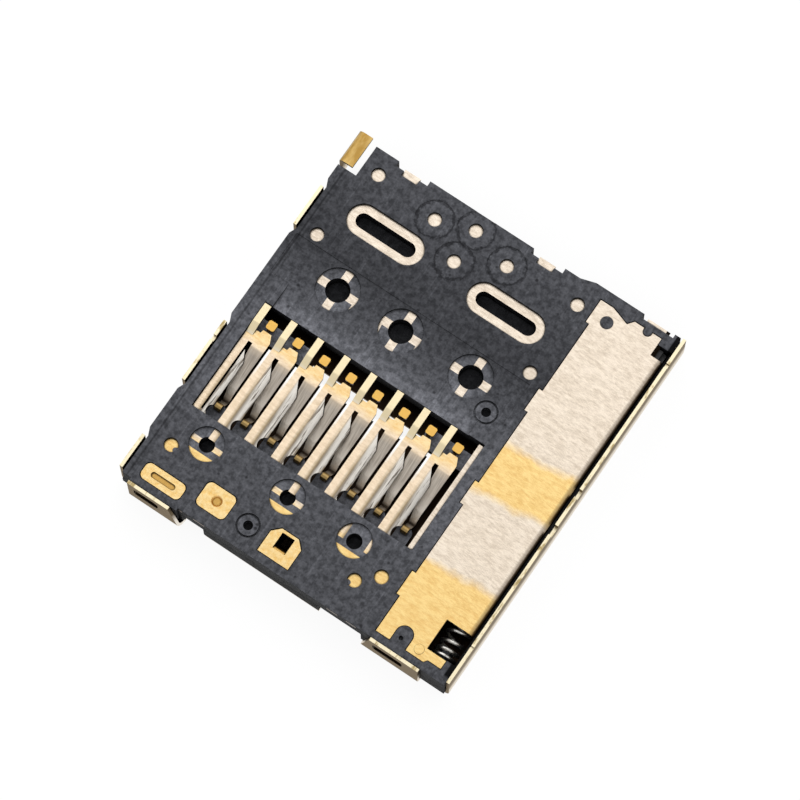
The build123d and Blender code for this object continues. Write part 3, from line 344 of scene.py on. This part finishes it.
def ring_levels(tree, place, z):
    """Brightness of the ejector pins' rings and the bosses, which are paler than the deck, with
    painted shade in the bosses' holes.

    A ramp ends at 1, so the skin outside of each ring and boss is given as 0.8, and the last
    level brings it back to 1.
    """
    outside = 0.8
    brought_back = 1.0 / outside ** len(EJECTOR_RINGS + BLIND_BOSSES)
    levels = []
    flat = add(tree, "ShaderNodeMapping", {"Vector": place, "Scale": (1, 1, 0)})
    # the rings are ragged by a quarter of a millimetre
    ragged = add(tree, "ShaderNodeTexNoise",
                 {"Vector": place, "Scale": 4.0, "Detail": 5.0, "Roughness": 0.7})
    for middle in EJECTOR_RINGS:
        reach = add(tree, "ShaderNodeVectorMath", {0: flat, 1: (*middle, 0)},
                    operation="DISTANCE")
        rough_reach = add(tree, "ShaderNodeMath",
                          {0: ragged.outputs["Fac"], 1: 0.5, 2: reach.outputs["Value"]},
                          operation="MULTIPLY_ADD")
        levels.append(add(tree, "ShaderNodeValToRGB", {"Fac": rough_reach},
                          [(0.6, grey(0.86)), (0.85, grey(0.92)), (0.89, grey(0.42)),
                           (0.95, grey(0.46)), (0.985, grey(outside))]))
    # each boss's hole is painted black as shade, and its ring is paler
    for middle in BLIND_BOSSES:
        reach = add(tree, "ShaderNodeVectorMath", {0: flat, 1: (*middle, 0)},
                    operation="DISTANCE")
        levels.append(add(tree, "ShaderNodeValToRGB", {"Fac": reach.outputs["Value"]},
                          [(0.15, grey(0.06)), (0.18, grey(1.0)), (0.35, grey(1.0)),
                           (0.4, grey(outside))]))
    # painted light: recesses that lie just under the deck are made paler
    levels.append(add(tree, "ShaderNodeMapRange",
                      {"Value": z, "From Min": 1.76, "From Max": 1.7,
                       "To Min": brought_back, "To Max": 1.75 * brought_back}))
    return levels


def painted_hollow_shade(tree, x, y, z, face_z):
    """Painted shade on the housing's walls, deep floors and corners."""
    # painted shade: walls, and the strip of housing between the plate and the cover, look black
    right = add(tree, "ShaderNodeMapRange", {"Value": x, "From Min": 6.4, "From Max": 6.44})
    past_rear = add(tree, "ShaderNodeMapRange",
                    {"Value": y, "From Min": -6.95, "From Max": -6.85})
    beside = add(tree, "ShaderNodeMath", {0: right, 1: past_rear}, operation="MULTIPLY")
    levels = [add(tree, "ShaderNodeMapRange",
                  {"Value": source, "From Min": dark, "From Max": clear, "To Min": least})
              for source, dark, clear, least in ((face_z, 0.2, 0.7, 0.1),
                                                 (beside, 1.0, 0.0, 0.06))]
    # painted shade on the floors under the lead frame, except for the shelf under the contacts'
    # tips
    deep = add(tree, "ShaderNodeMapRange",
               {"Value": z, "From Min": 1.16, "From Max": 1.26, "To Min": 0.22})
    shelf_front = add(tree, "ShaderNodeMapRange", {"Value": y, "From Min": -3.1, "From Max": -3.3})
    shelf = add(tree, "ShaderNodeMapRange",
                {"Value": y, "From Min": -3.97, "From Max": -3.93, "To Max": 0.95})
    shelf = add(tree, "ShaderNodeMath", {0: shelf, 1: shelf_front}, operation="MULTIPLY")
    levels.append(add(tree, "ShaderNodeMath", {0: deep, 1: shelf}, operation="MAXIMUM"))
    # painted shade in the corners, within 0.09 mm of a wall
    corner = add(tree, "ShaderNodeAmbientOcclusion", {"Distance": 0.09 * MM}, samples=6)
    levels.append(add(tree, "ShaderNodeMapRange",
                      {"Value": corner.outputs["AO"], "From Min": 0.35, "From Max": 0.85,
                       "To Min": 0.3}))
    return levels


def plated_material(name, finish, gold, edges, grain_turn, tilt=0.0, contact=False):
    """Copper alloy strip, rolled, stamped and then plated with nickel and, in bands, thin gold.

    The eye sees a warm cream metal with a fine rolled grain, gold bands with soft ragged ends,
    and brown sheared edges; painted shade darkens them and the corners. edges are the rear band's
    front end and the middle band's two ends, in millimetres along y. grain_turn is in degrees, and
    tilt is the bands' slope. A contact gets further finishes, painted light and shade among them.
    """
    material, tree, place, normal = new_material(name)
    x, y, _ = add(tree, "ShaderNodeSeparateXYZ", {"Vector": place}).outputs
    face_z = add(tree, "ShaderNodeSeparateXYZ", {"Vector": normal}).outputs["Z"]
    # rolled grain, 0.1 mm by 0.3 mm
    turned = add(tree, "ShaderNodeMapping",
                 {"Vector": place, "Rotation": (0, 0, math.radians(grain_turn)),
                  "Scale": (2.6, 8.0, 2.6)})
    grain = add(tree, "ShaderNodeTexNoise",
                {"Vector": turned, "Scale": 1.2, "Detail": 5.0, "Roughness": 0.8})
    grain_mask = add(tree, "ShaderNodeMapRange",
                     {"Value": grain.outputs["Fac"], "From Min": 0.36, "From Max": 0.6})
    # gold bands along y, tilted a little, with ragged ends about a millimetre from wave to wave
    raggedness = 0.7
    blotch = add(tree, "ShaderNodeTexNoise",
                 {"Vector": place, "Scale": 0.9, "Detail": 4.0, "Roughness": 0.6})
    slant = add(tree, "ShaderNodeMath", {0: x, 1: -tilt, 2: y}, operation="MULTIPLY_ADD")
    ragged = add(tree, "ShaderNodeMath", {0: blotch.outputs["Fac"], 1: raggedness, 2: slant},
                 operation="MULTIPLY_ADD")
    along = add(tree, "ShaderNodeMapRange",
                {"Value": ragged, "From Min": raggedness / 2 - HALF_RUN,
                 "From Max": raggedness / 2 + HALF_RUN})
    soft = 0.16  # half the length over which a band fades
    rear, low, high = edges
    bands = ((rear - soft, 1.0), (rear + soft, 0.0), (low - soft, 0.0), (low + soft, 1.0),
             (high - soft, 1.0), (high + soft, 0.0))
    band = add(tree, "ShaderNodeValToRGB", {"Fac": along},
               [((end + HALF_RUN) / (2 * HALF_RUN), grey(value)) for end, value in bands])
    pale = add(tree, "ShaderNodeMix", {0: grain_mask, 6: finish.nickel_dim, 7: finish.nickel},
               data_type="RGBA")
    golden = add(tree, "ShaderNodeMix", {0: grain_mask, 6: finish.gold_dim, 7: gold},
                 data_type="RGBA")
    colour = add(tree, "ShaderNodeMix", {0: band.outputs["Color"], 6: pale, 7: golden},
                 data_type="RGBA")
    if contact:
        colour = lay_contact_finishes(tree, colour, finish, place, normal)
    # painted shade where the plate rolls down along the cover, painted shadow on the tab in its
    # notch
    colour = lay(tree, colour, linear("#6f5f48"), (x, 6.28, 6.52), (y, 6.36, 6.34))
    colour = lay(tree, colour, linear("#15100b"), (x, 6.01, 6.02), (y, 6.32, 6.33))
    # sheared edges are browner than the rolled faces, and darkened further with painted shade
    upright = add(tree, "ShaderNodeMath", {0: face_z}, operation="ABSOLUTE")
    colour = lay(tree, colour, linear("#4d3b28"), (upright, 0.5, 0.1))
    # painted shade in the corners, within 0.1 mm of a wall
    colour = paint_corner_shade(tree, colour, "#221a12")
    rough = add(tree, "ShaderNodeMapRange",
                {"Value": grain.outputs["Fac"], "From Min": 0.3, "From Max": 0.7,
                 "To Min": 0.44, "To Max": 0.3})
    shader = add(tree, "ShaderNodeBsdfPrincipled",
                 {"Base Color": colour, "Metallic": 1.0, "Roughness": rough})
    finish_tree(tree, shader, grain.outputs["Fac"], 0.008 * MM)
    return material


def lay_contact_finishes(tree, colour, finish, place, normal):
    """Lays what differs on the contacts over their plating.

    The spring arms are the bare grey of drawn strip, greyer in part with painted shade, and the
    pads and tips wear darker gold. Painted highlights lie on the wings, arms, strips and ramps,
    and painted shade on the folds, knees, necks and tips.
    """
    x, y, z = add(tree, "ShaderNodeSeparateXYZ", {"Vector": place}).outputs
    face_x, face_y, face_z = add(tree, "ShaderNodeSeparateXYZ", {"Vector": normal}).outputs
    # drawing lines 0.06 mm wide and a millimetre long
    streak_place = add(tree, "ShaderNodeMapping", {"Vector": place, "Scale": (18.0, 0.9, 0.9)})
    streaks = add(tree, "ShaderNodeTexNoise",
                  {"Vector": streak_place, "Scale": 1.0, "Detail": 3.0, "Roughness": 0.6})
    bare = add(tree, "ShaderNodeValToRGB", {"Fac": streaks.outputs["Fac"]},
               [(0.35, finish.arm), (0.62, finish.arm_pale)])
    creases_and_highlight = add(tree, "ShaderNodeValToRGB", {"Fac": streaks.outputs["Fac"]},
                  [(0.38, linear("#8d8479")), (0.47, linear("#fffaf1"))])
    # place across any contact, brought to the first one
    across = add(tree, "ShaderNodeMath",
                 {0: x, 1: FIRST_STRIP + 0.75 * PITCH, 2: FIRST_STRIP - 0.25 * PITCH},
                 operation="WRAP")
    # a thin wash of gold all over
    colour = add(tree, "ShaderNodeMix", {0: 0.3, 6: colour, 7: linear("#ffdba4")},
                 data_type="RGBA")
    for over, limits in (
            # bare arms, where they lean, and all that lies deep, greyer in part as painted shade
            (bare, ((face_y, -0.12, -0.34), (y, -0.8, -1.3))),
            (bare, ((z, 1.35, 1.25),)),
            # painted highlight: the arms are pale at their lower ends
            (linear("#f2e8da"), ((z, 1.3, 1.05), (face_y, -0.1, -0.3))),
            # folded wings: crease lines under a painted highlight, and painted shade at the fold
            (creases_and_highlight, ((face_x, 0.2, 0.45),)),
            (linear("#7d6a54"), ((across, FIRST_STRIP + 0.27, FIRST_STRIP + 0.15),
                                 (face_x, 0.2, 0.45), (y, -1.5, -2.7))),
            # painted shade on the knees, deep in the window
            (finish.shade, ((z, 0.86, 0.78), (y, -2.6, -2.8))),
            # painted shade: the strips turn brown towards the fold
            (linear("#93805f"), ((across, FIRST_STRIP + 0.01, FIRST_STRIP + 0.15),
                                 (face_z, 0.9, 0.98), (y, -1.3, -2.7), (z, 1.6, 1.65))),
            # tips: worn gold, darkened in part with painted shade
            (finish.tip, ((y, -3.05, -3.15), (z, 1.55, 1.45), (z, 1.05, 1.15))),
            # pads in front of the roots, with their necks in shadow
            (finish.pad, ((y, -0.3, -0.25), (z, 1.72, 1.69))),
            (finish.shade, ((y, -0.355, -0.345), (y, -0.2, -0.235), (z, 1.65, 1.61))),
            # painted highlight: each strip is bright along its left side, next to the root
            (linear("#ffffff"), ((across, FIRST_STRIP - 0.11, FIRST_STRIP - 0.15),
                                 (y, -0.7, -0.75), (y, -2.0, -1.2))),
            # ramps up to the tails, painted paler to stand in for light, and the tails
            (linear("#fff8e6"), ((face_y, -0.3, -0.4), (y, -0.8, -0.72))),
            (linear("#f9e8c0"), ((z, 1.69, 1.74),))):
        colour = lay(tree, colour, over, *limits)
    return colour


def shell_material(finish):
    """Austenitic stainless sheet, bright annealed and folded in a press.

    The eye sees brown-grey walls, painted as the shade and soft reflection of their surroundings,
    with rolling lines along them, pale cut edges with a burr and a painted highlight, an inside
    painted dark as shade, and a solder foot under old gold.
    """
    material, tree, place, normal = new_material("folded_stainless_sheet")
    x, y, z = add(tree, "ShaderNodeSeparateXYZ", {"Vector": place}).outputs
    face_x, _, face_z = add(tree, "ShaderNodeSeparateXYZ", {"Vector": normal}).outputs
    sideways = add(tree, "ShaderNodeMath", {0: face_x}, operation="ABSOLUTE")
    upwards = (face_z, 0.35, 0.8)
    # rolling lines 0.06 mm wide and a millimetre long
    stretched = add(tree, "ShaderNodeMapping", {"Vector": place, "Scale": (0.9, 0.9, 14.0)})
    lines = add(tree, "ShaderNodeTexNoise",
                {"Vector": stretched, "Scale": 1.2, "Detail": 4.0, "Roughness": 0.6})
    # painted shade and reflection: the walls are dark brown-grey, with rolling lines
    walls = add(tree, "ShaderNodeValToRGB", {"Fac": lines.outputs["Fac"]},
                [(0.35, finish.steel_side), (0.7, finish.steel_pale)])
    # burr in bites 0.3 mm by 0.9 mm
    burr_place = add(tree, "ShaderNodeMapping", {"Vector": place, "Scale": (1.0, 0.35, 1.0)})
    burr = add(tree, "ShaderNodeTexNoise",
               {"Vector": burr_place, "Scale": 3.2, "Detail": 3.0, "Roughness": 0.7})
    edges = add(tree, "ShaderNodeValToRGB", {"Fac": burr.outputs["Fac"]},
                [(0.36, linear("#b9a473")), (0.46, finish.steel)])
    old_gold = add(tree, "ShaderNodeValToRGB", {"Fac": burr.outputs["Fac"]},
                   [(0.4, linear("#b58f4a")), (0.6, linear("#cfae6c"))])
    # the side walls are pale low down, where the table lights them
    colour = lay(tree, walls, linear("#fffaf2"), (z, 1.25, 0.7), (sideways, 0.0, 1.0))
    # painted highlight: faces that look up, the cut edges, are pale cream over the burr
    colour = lay(tree, colour, edges, upwards)
    # the inside, in its own shadow, and the foot at the front left
    colour = lay(tree, colour, linear("#2b2119"), (z, 1.25, 1.15), upwards)
    colour = lay(tree, colour, old_gold, (y, 5.8, 5.9), (x, 0.0, -0.1), upwards)
    rough = add(tree, "ShaderNodeMapRange",
                {"Value": lines.outputs["Fac"], "From Min": 0.3, "From Max": 0.7,
                 "To Min": 0.32, "To Max": 0.44})
    shader = add(tree, "ShaderNodeBsdfPrincipled",
                 {"Base Color": colour, "Metallic": 1.0, "Roughness": rough,
                  "Specular Tint": linear("#d9cfc0")})
    finish_tree(tree, shader, burr.outputs["Fac"], 0.006 * MM)
    return material


def pad_material():
    """Solder pads of the same strip, all under thin gold.

    The eye sees a bright yellow metal, with painted shade making the stampings browner and the
    lanced window black.
    """
    material, tree, place, normal = new_material("gold_solder_pad")
    z = add(tree, "ShaderNodeSeparateXYZ", {"Vector": place}).outputs["Z"]
    face_z = add(tree, "ShaderNodeSeparateXYZ", {"Vector": normal}).outputs["Z"]
    upright = add(tree, "ShaderNodeMath", {0: face_z}, operation="ABSOLUTE")
    # scuffs a fifth of a millimetre wide
    marks = add(tree, "ShaderNodeTexNoise",
                {"Vector": place, "Scale": 5.0, "Detail": 6.0, "Roughness": 0.7})
    colour = add(tree, "ShaderNodeValToRGB", {"Fac": marks.outputs["Fac"]},
                 [(0.35, linear("#f0c577")), (0.62, linear("#fbe0a6"))])
    # painted shade in the stampings and the lanced window, and on the sheared edges
    for shade, limit in (("#cfa45a", (z, 1.775, 1.72)), ("#21180e", (z, 1.6, 1.45)),
                         ("#5c4019", (upright, 0.55, 0.1))):
        colour = lay(tree, colour, linear(shade), limit)
    # painted shade in the pads' corners, within 0.1 mm of a wall
    colour = paint_corner_shade(tree, colour, "#3a280f")
    shader = add(tree, "ShaderNodeBsdfPrincipled",
                 {"Base Color": colour, "Metallic": 1.0, "Roughness": 0.34})
    finish_tree(tree, shader, marks.outputs["Fac"], 0.008 * MM)
    return material


def slider_material():
    """Nylon with carbon, moulded: near black and half matt, with wear lines along its travel."""
    material, tree, place, _ = new_material("black_slider_nylon")
    # wear lines 0.08 mm wide and a millimetre long
    stretched = add(tree, "ShaderNodeMapping", {"Vector": place, "Scale": (12.0, 0.8, 12.0)})
    wear = add(tree, "ShaderNodeTexNoise",
               {"Vector": stretched, "Scale": 1.0, "Detail": 4.0, "Roughness": 0.6})
    colour = add(tree, "ShaderNodeValToRGB", {"Fac": wear.outputs["Fac"]},
                 [(0.35, linear("#1b1b1d")), (0.75, linear("#39393c"))])
    rough = add(tree, "ShaderNodeMapRange",
                {"Value": wear.outputs["Fac"], "From Min": 0.3, "From Max": 0.7,
                 "To Min": 0.36, "To Max": 0.5})
    shader = add(tree, "ShaderNodeBsdfPrincipled",
                 {"Base Color": colour.outputs["Color"], "Roughness": rough, "IOR": 1.5})
    finish_tree(tree, shader, wear.outputs["Fac"], 0.004 * MM)
    return material


def wire_material():
    """Drawn stainless spring wire: bright, with a few dull spots a tenth of a millimetre wide."""
    material, tree, place, _ = new_material("drawn_spring_wire")
    spots = add(tree, "ShaderNodeTexNoise",
                {"Vector": place, "Scale": 9.0, "Detail": 4.0, "Roughness": 0.6})
    colour = add(tree, "ShaderNodeValToRGB", {"Fac": spots.outputs["Fac"]},
                 [(0.35, linear("#b5b1aa")), (0.6, linear("#f4f2ec"))])
    rough = add(tree, "ShaderNodeMapRange",
                {"Value": spots.outputs["Fac"], "From Min": 0.3, "From Max": 0.7,
                 "To Min": 0.36, "To Max": 0.26})
    shader = add(tree, "ShaderNodeBsdfPrincipled",
                 {"Base Color": colour.outputs["Color"], "Metallic": 1.0, "Roughness": rough})
    finish_tree(tree, shader, spots.outputs["Fac"], 0.002 * MM)
    return material


class CONNECTOR_OT_stage(bpy.types.Operator):
    """Make the camera, the pale floor and the soft studio light"""

    bl_idname = "connector.stage"
    bl_label = "Stage"

    def execute(self, context):
        scene = context.scene
        studio = scene.connector_studio
        scene.view_settings.view_transform = "Standard"
        self.make_camera(scene, studio)
        self.make_floor(scene)
        self.make_world(scene, studio)
        self.make_lamp(scene, "key_box", KEY_PLACE, KEY_SIZE, studio.key_power)
        self.make_lamp(scene, "top_box", TOP_PLACE, TOP_SIZE, studio.top_power)
        return {"FINISHED"}

    def make_camera(self, scene, studio):
        """Camera at the photograph's angle, shifted a little as its frame is."""
        data = bpy.data.cameras.new("camera")
        data.sensor_width = 36.0
        data.lens = studio.lens
        data.shift_x, data.shift_y = CAMERA_SHIFT
        data.clip_start = 0.005
        data.clip_end = 10.0
        camera = bpy.data.objects.new("camera", data)
        scene.collection.objects.link(camera)
        flat = math.cos(studio.elevation)
        towards = Vector((math.sin(studio.azimuth) * flat, -math.cos(studio.azimuth) * flat,
                          math.sin(studio.elevation)))
        camera.location = CAMERA_TARGET + towards * studio.distance
        camera.rotation_mode = "QUATERNION"
        camera.rotation_quaternion = (-towards).to_track_quat("-Z", "Y")
        scene.camera = camera

    def make_floor(self, scene):
        """White table: white to the eye and to metal, with a faint shadow under the part."""
        corners = [(x * TABLE_HALF, y * TABLE_HALF, -TABLE_DROP)
                   for x, y in ((-1, -1), (1, -1), (1, 1), (-1, 1))]
        mesh = bpy.data.meshes.new("floor")
        mesh.from_pydata(corners, [], [(0, 1, 2, 3)])
        floor = bpy.data.objects.new("floor", mesh)
        scene.collection.objects.link(floor)
        material = bpy.data.materials.new("white_table")
        material.use_nodes = True
        tree = material.node_tree
        tree.nodes.clear()
        path = add(tree, "ShaderNodeLightPath").outputs
        seen = add(tree, "ShaderNodeMath", {0: path["Is Camera Ray"], 1: path["Is Glossy Ray"]},
                   operation="MAXIMUM")
        seen = add(tree, "ShaderNodeMath", {0: seen, 1: path["Is Transmission Ray"]},
                   operation="MAXIMUM")
        # the glow and the lit paper add up to white where no shadow falls
        glow = add(tree, "ShaderNodeEmission", {"Color": grey(1.0), "Strength": 0.9})
        lit = add(tree, "ShaderNodeBsdfDiffuse", {"Color": grey(0.13)})
        paper = add(tree, "ShaderNodeAddShader", {0: glow, 1: lit})
        plain = add(tree, "ShaderNodeBsdfDiffuse", {"Color": grey(0.8)})
        mix = add(tree, "ShaderNodeMixShader", {0: seen, 1: plain, 2: paper})
        add(tree, "ShaderNodeOutputMaterial", {"Surface": mix})
        mesh.materials.append(material)

    def make_world(self, scene, studio):
        """Plain room: white at the horizon, and greyer from the upper walls to the ceiling."""
        world = bpy.data.worlds.new("studio")
        scene.world = world
        world.use_nodes = True
        tree = world.node_tree
        tree.nodes.clear()
        direction = add(tree, "ShaderNodeTexCoord")
        height = add(tree, "ShaderNodeSeparateXYZ",
                     {"Vector": direction.outputs["Generated"]}).outputs["Z"]
        room = add(tree, "ShaderNodeValToRGB", {"Fac": height},
                   [(0.1, grey(1.0)), (0.3, grey(0.9)), (0.55, grey(0.9)),
                    (0.75, grey(studio.wall_level)), (0.86, grey(studio.wall_level)),
                    (0.96, grey(studio.ceiling_level))])
        background = add(tree, "ShaderNodeBackground", {"Color": room.outputs["Color"]})
        add(tree, "ShaderNodeOutputWorld", {"Surface": background})

    def make_lamp(self, scene, name, place, size, power):
        """Soft box that faces the part."""
        data = bpy.data.lights.new(name, "AREA")
        data.shape = "SQUARE"
        data.size = size
        data.energy = power
        lamp = bpy.data.objects.new(name, data)
        scene.collection.objects.link(lamp)
        lamp.location = place
        lamp.rotation_mode = "QUATERNION"
        lamp.rotation_quaternion = (-Vector(place)).to_track_quat("-Z", "Y")


class CONNECTOR_OT_moulding(bpy.types.Operator):
    """Finish the moulded housing"""

    bl_idname = "connector.moulding"
    bl_label = "Moulding"

    def execute(self, context):
        dress(["housing"], moulding_material(context.scene.connector_finish))
        return {"FINISHED"}


class CONNECTOR_OT_shell(bpy.types.Operator):
    """Finish the folded steel cover"""

    bl_idname = "connector.shell"
    bl_label = "Cover"

    def execute(self, context):
        dress(["cover"], shell_material(context.scene.connector_finish))
        return {"FINISHED"}


class CONNECTOR_OT_lead_frame(bpy.types.Operator):
    """Finish the stamped contacts and the two buried inserts"""

    bl_idname = "connector.lead_frame"
    bl_label = "Lead frame"

    def execute(self, context):
        finish = context.scene.connector_finish
        dress(CONTACTS, plated_material("plated_contact_strip", finish, finish.gold_pale,
                                        edges=(-4.75, -0.85, 1.0), grain_turn=90, contact=True))
        # the inserts have no middle band: it is put past their front ends
        dress(["front_insert", "rear_insert"],
              plated_material("plated_insert_strip", finish, finish.gold,
                              edges=(-4.75, 7.8, 7.9), grain_turn=35))
        return {"FINISHED"}


class CONNECTOR_OT_base_plate(bpy.types.Operator):
    """Finish the base plate"""

    bl_idname = "connector.base_plate"
    bl_label = "Base plate"

    def execute(self, context):
        finish = context.scene.connector_finish
        dress(["base_plate"],
              plated_material("plated_base_plate", finish, finish.gold,
                              edges=(-4.3, -1.35, 0.6), grain_turn=35, tilt=0.1))
        return {"FINISHED"}


class CONNECTOR_OT_pads(bpy.types.Operator):
    """Finish the three rear solder pads"""

    bl_idname = "connector.pads"
    bl_label = "Solder pads"

    def execute(self, context):
        dress(["ground_pad", "switch_pad", "switch_terminal"], pad_material())
        return {"FINISHED"}


class CONNECTOR_OT_slider(bpy.types.Operator):
    """Finish the card slider, its lock leaf and the cam pin"""

    bl_idname = "connector.slider"
    bl_label = "Slider"

    def execute(self, context):
        dress(["card_slider"], slider_material())
        dress(["lock_leaf", "cam_pin"], wire_material())
        return {"FINISHED"}


class CONNECTOR_OT_spring(bpy.types.Operator):
    """Wind the push spring from round wire, in place of its CAD solid"""

    bl_idname = "connector.spring"
    bl_label = "Push spring"

    def execute(self, context):
        settings = context.scene.connector_spring
        low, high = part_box("push_spring")
        wire = settings.wire
        material = bpy.data.materials.get("drawn_spring_wire") or wire_material()
        tree = self.coil_tree(material)
        holder = bpy.data.objects.new("coil_holder", bpy.data.meshes.new("coil_holder"))
        context.scene.collection.objects.link(holder)
        modifier = holder.modifiers.new("coil", "NODES")
        modifier.node_group = tree
        values = {
            "Turns": float(settings.turns),
            "Radius": (high.x - low.x - wire) / 2,
            "Length": high.y - low.y - wire,
            "Wire Radius": wire / 2,
            "Sides": settings.wire_sides,
            "Rear End": Vector(((low.x + high.x) / 2, low.y + wire / 2, (low.z + high.z) / 2)),
        }
        for item in tree.interface.items_tree:
            if item.item_type == "SOCKET" and item.in_out == "INPUT":
                modifier[item.identifier] = values[item.name]
        context.view_layer.update()
        evaluated = holder.evaluated_get(context.evaluated_depsgraph_get())
        mesh = bpy.data.meshes.new_from_object(evaluated)
        bpy.data.objects.remove(holder)
        coil = bpy.data.objects.new("spring_coil", mesh)
        context.scene.collection.objects.link(coil)
        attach(coil, "shell")
        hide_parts("push_spring")
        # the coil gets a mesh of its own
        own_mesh(coil)
        return {"FINISHED"}

    def coil_tree(self, material):
        """Geometry Nodes tree: a helix along y with closed ends, swept by a round section."""
        tree = bpy.data.node_groups.new("push_spring_coil", "GeometryNodeTree")
        inputs = (("Turns", "NodeSocketFloat"), ("Radius", "NodeSocketFloat"),
                  ("Length", "NodeSocketFloat"), ("Wire Radius", "NodeSocketFloat"),
                  ("Sides", "NodeSocketInt"), ("Rear End", "NodeSocketVector"))
        for name, kind in inputs:
            tree.interface.new_socket(name, in_out="INPUT", socket_type=kind)
        tree.interface.new_socket("Mesh", in_out="OUTPUT", socket_type="NodeSocketGeometry")
        given = add(tree, "NodeGroupInput").outputs
        helix = add(tree, "GeometryNodeCurveSpiral",
                    {"Resolution": POINTS_PER_TURN, "Rotations": given["Turns"],
                     "Start Radius": given["Radius"], "End Radius": given["Radius"],
                     "Height": given["Length"], "Reverse": True})
        # one sine wave along the axis narrows the pitch at both ends
        axis = add(tree, "ShaderNodeSeparateXYZ",
                   {"Vector": add(tree, "GeometryNodeInputPosition")}).outputs["Z"]
        share = add(tree, "ShaderNodeMath", {0: axis, 1: given["Length"]}, operation="DIVIDE")
        angle = add(tree, "ShaderNodeMath", {0: share, 1: 2 * math.pi}, operation="MULTIPLY")
        wave = add(tree, "ShaderNodeMath", {0: angle}, operation="SINE")
        reach = add(tree, "ShaderNodeMath",
                    {0: given["Length"], 1: (END_PITCH - 1) / (2 * math.pi)},
                    operation="MULTIPLY")
        shift = add(tree, "ShaderNodeMath", {0: wave, 1: reach}, operation="MULTIPLY")
        offset = add(tree, "ShaderNodeCombineXYZ", {"Z": shift})
        helix = add(tree, "GeometryNodeSetPosition", {"Geometry": helix, "Offset": offset})
        laid = add(tree, "GeometryNodeTransform",
                   {"Geometry": helix, "Translation": given["Rear End"],
                    "Rotation": (math.radians(-90), START_ANGLE, 0)})
        section = add(tree, "GeometryNodeCurvePrimitiveCircle",
                      {"Resolution": given["Sides"], "Radius": given["Wire Radius"]})
        swept = add(tree, "GeometryNodeCurveToMesh",
                    {"Curve": laid, "Profile Curve": section, "Fill Caps": True})
        smooth = add(tree, "GeometryNodeSetShadeSmooth", {"Geometry": swept})
        real = add(tree, "GeometryNodeRealizeInstances", {"Geometry": smooth})
        finished = add(tree, "GeometryNodeSetMaterial", {"Geometry": real, "Material": material})
        add(tree, "NodeGroupOutput", {"Mesh": finished})
        return tree


class CONNECTOR_PT_panel(bpy.types.Panel):
    """Connector's operators and settings"""

    bl_idname = "CONNECTOR_PT_panel"
    bl_label = "Card Connector"
    bl_space_type = "VIEW_3D"
    bl_region_type = "UI"
    bl_category = "Connector"

    def draw(self, context):
        for operator in OPERATORS:
            self.layout.operator(operator.bl_idname)
        for group in SETTINGS:
            settings = getattr(context.scene, group)
            box = self.layout.box()
            for name in settings.__annotations__:
                box.prop(settings, name)


OPERATORS = (
    CONNECTOR_OT_stage, CONNECTOR_OT_moulding, CONNECTOR_OT_shell, CONNECTOR_OT_lead_frame,
    CONNECTOR_OT_base_plate, CONNECTOR_OT_pads, CONNECTOR_OT_slider, CONNECTOR_OT_spring,
)
SETTINGS = {
    "connector_studio": ConnectorStudio,
    "connector_finish": ConnectorFinish,
    "connector_spring": ConnectorSpring,
}


def register():
    for cls in (*SETTINGS.values(), *OPERATORS, CONNECTOR_PT_panel):
        bpy.utils.register_class(cls)
    for name, group in SETTINGS.items():
        setattr(bpy.types.Scene, name, PointerProperty(type=group))


def unregister():
    for name in SETTINGS:
        delattr(bpy.types.Scene, name)
    for cls in reversed((*SETTINGS.values(), *OPERATORS, CONNECTOR_PT_panel)):
        bpy.utils.unregister_class(cls)


def main():
    register()
    bpy.ops.connector.stage()
    bpy.ops.connector.moulding()
    bpy.ops.connector.shell()
    bpy.ops.connector.lead_frame()
    bpy.ops.connector.base_plate()
    bpy.ops.connector.pads()
    bpy.ops.connector.slider()
    bpy.ops.connector.spring()


if __name__ == "__main__":
    main()
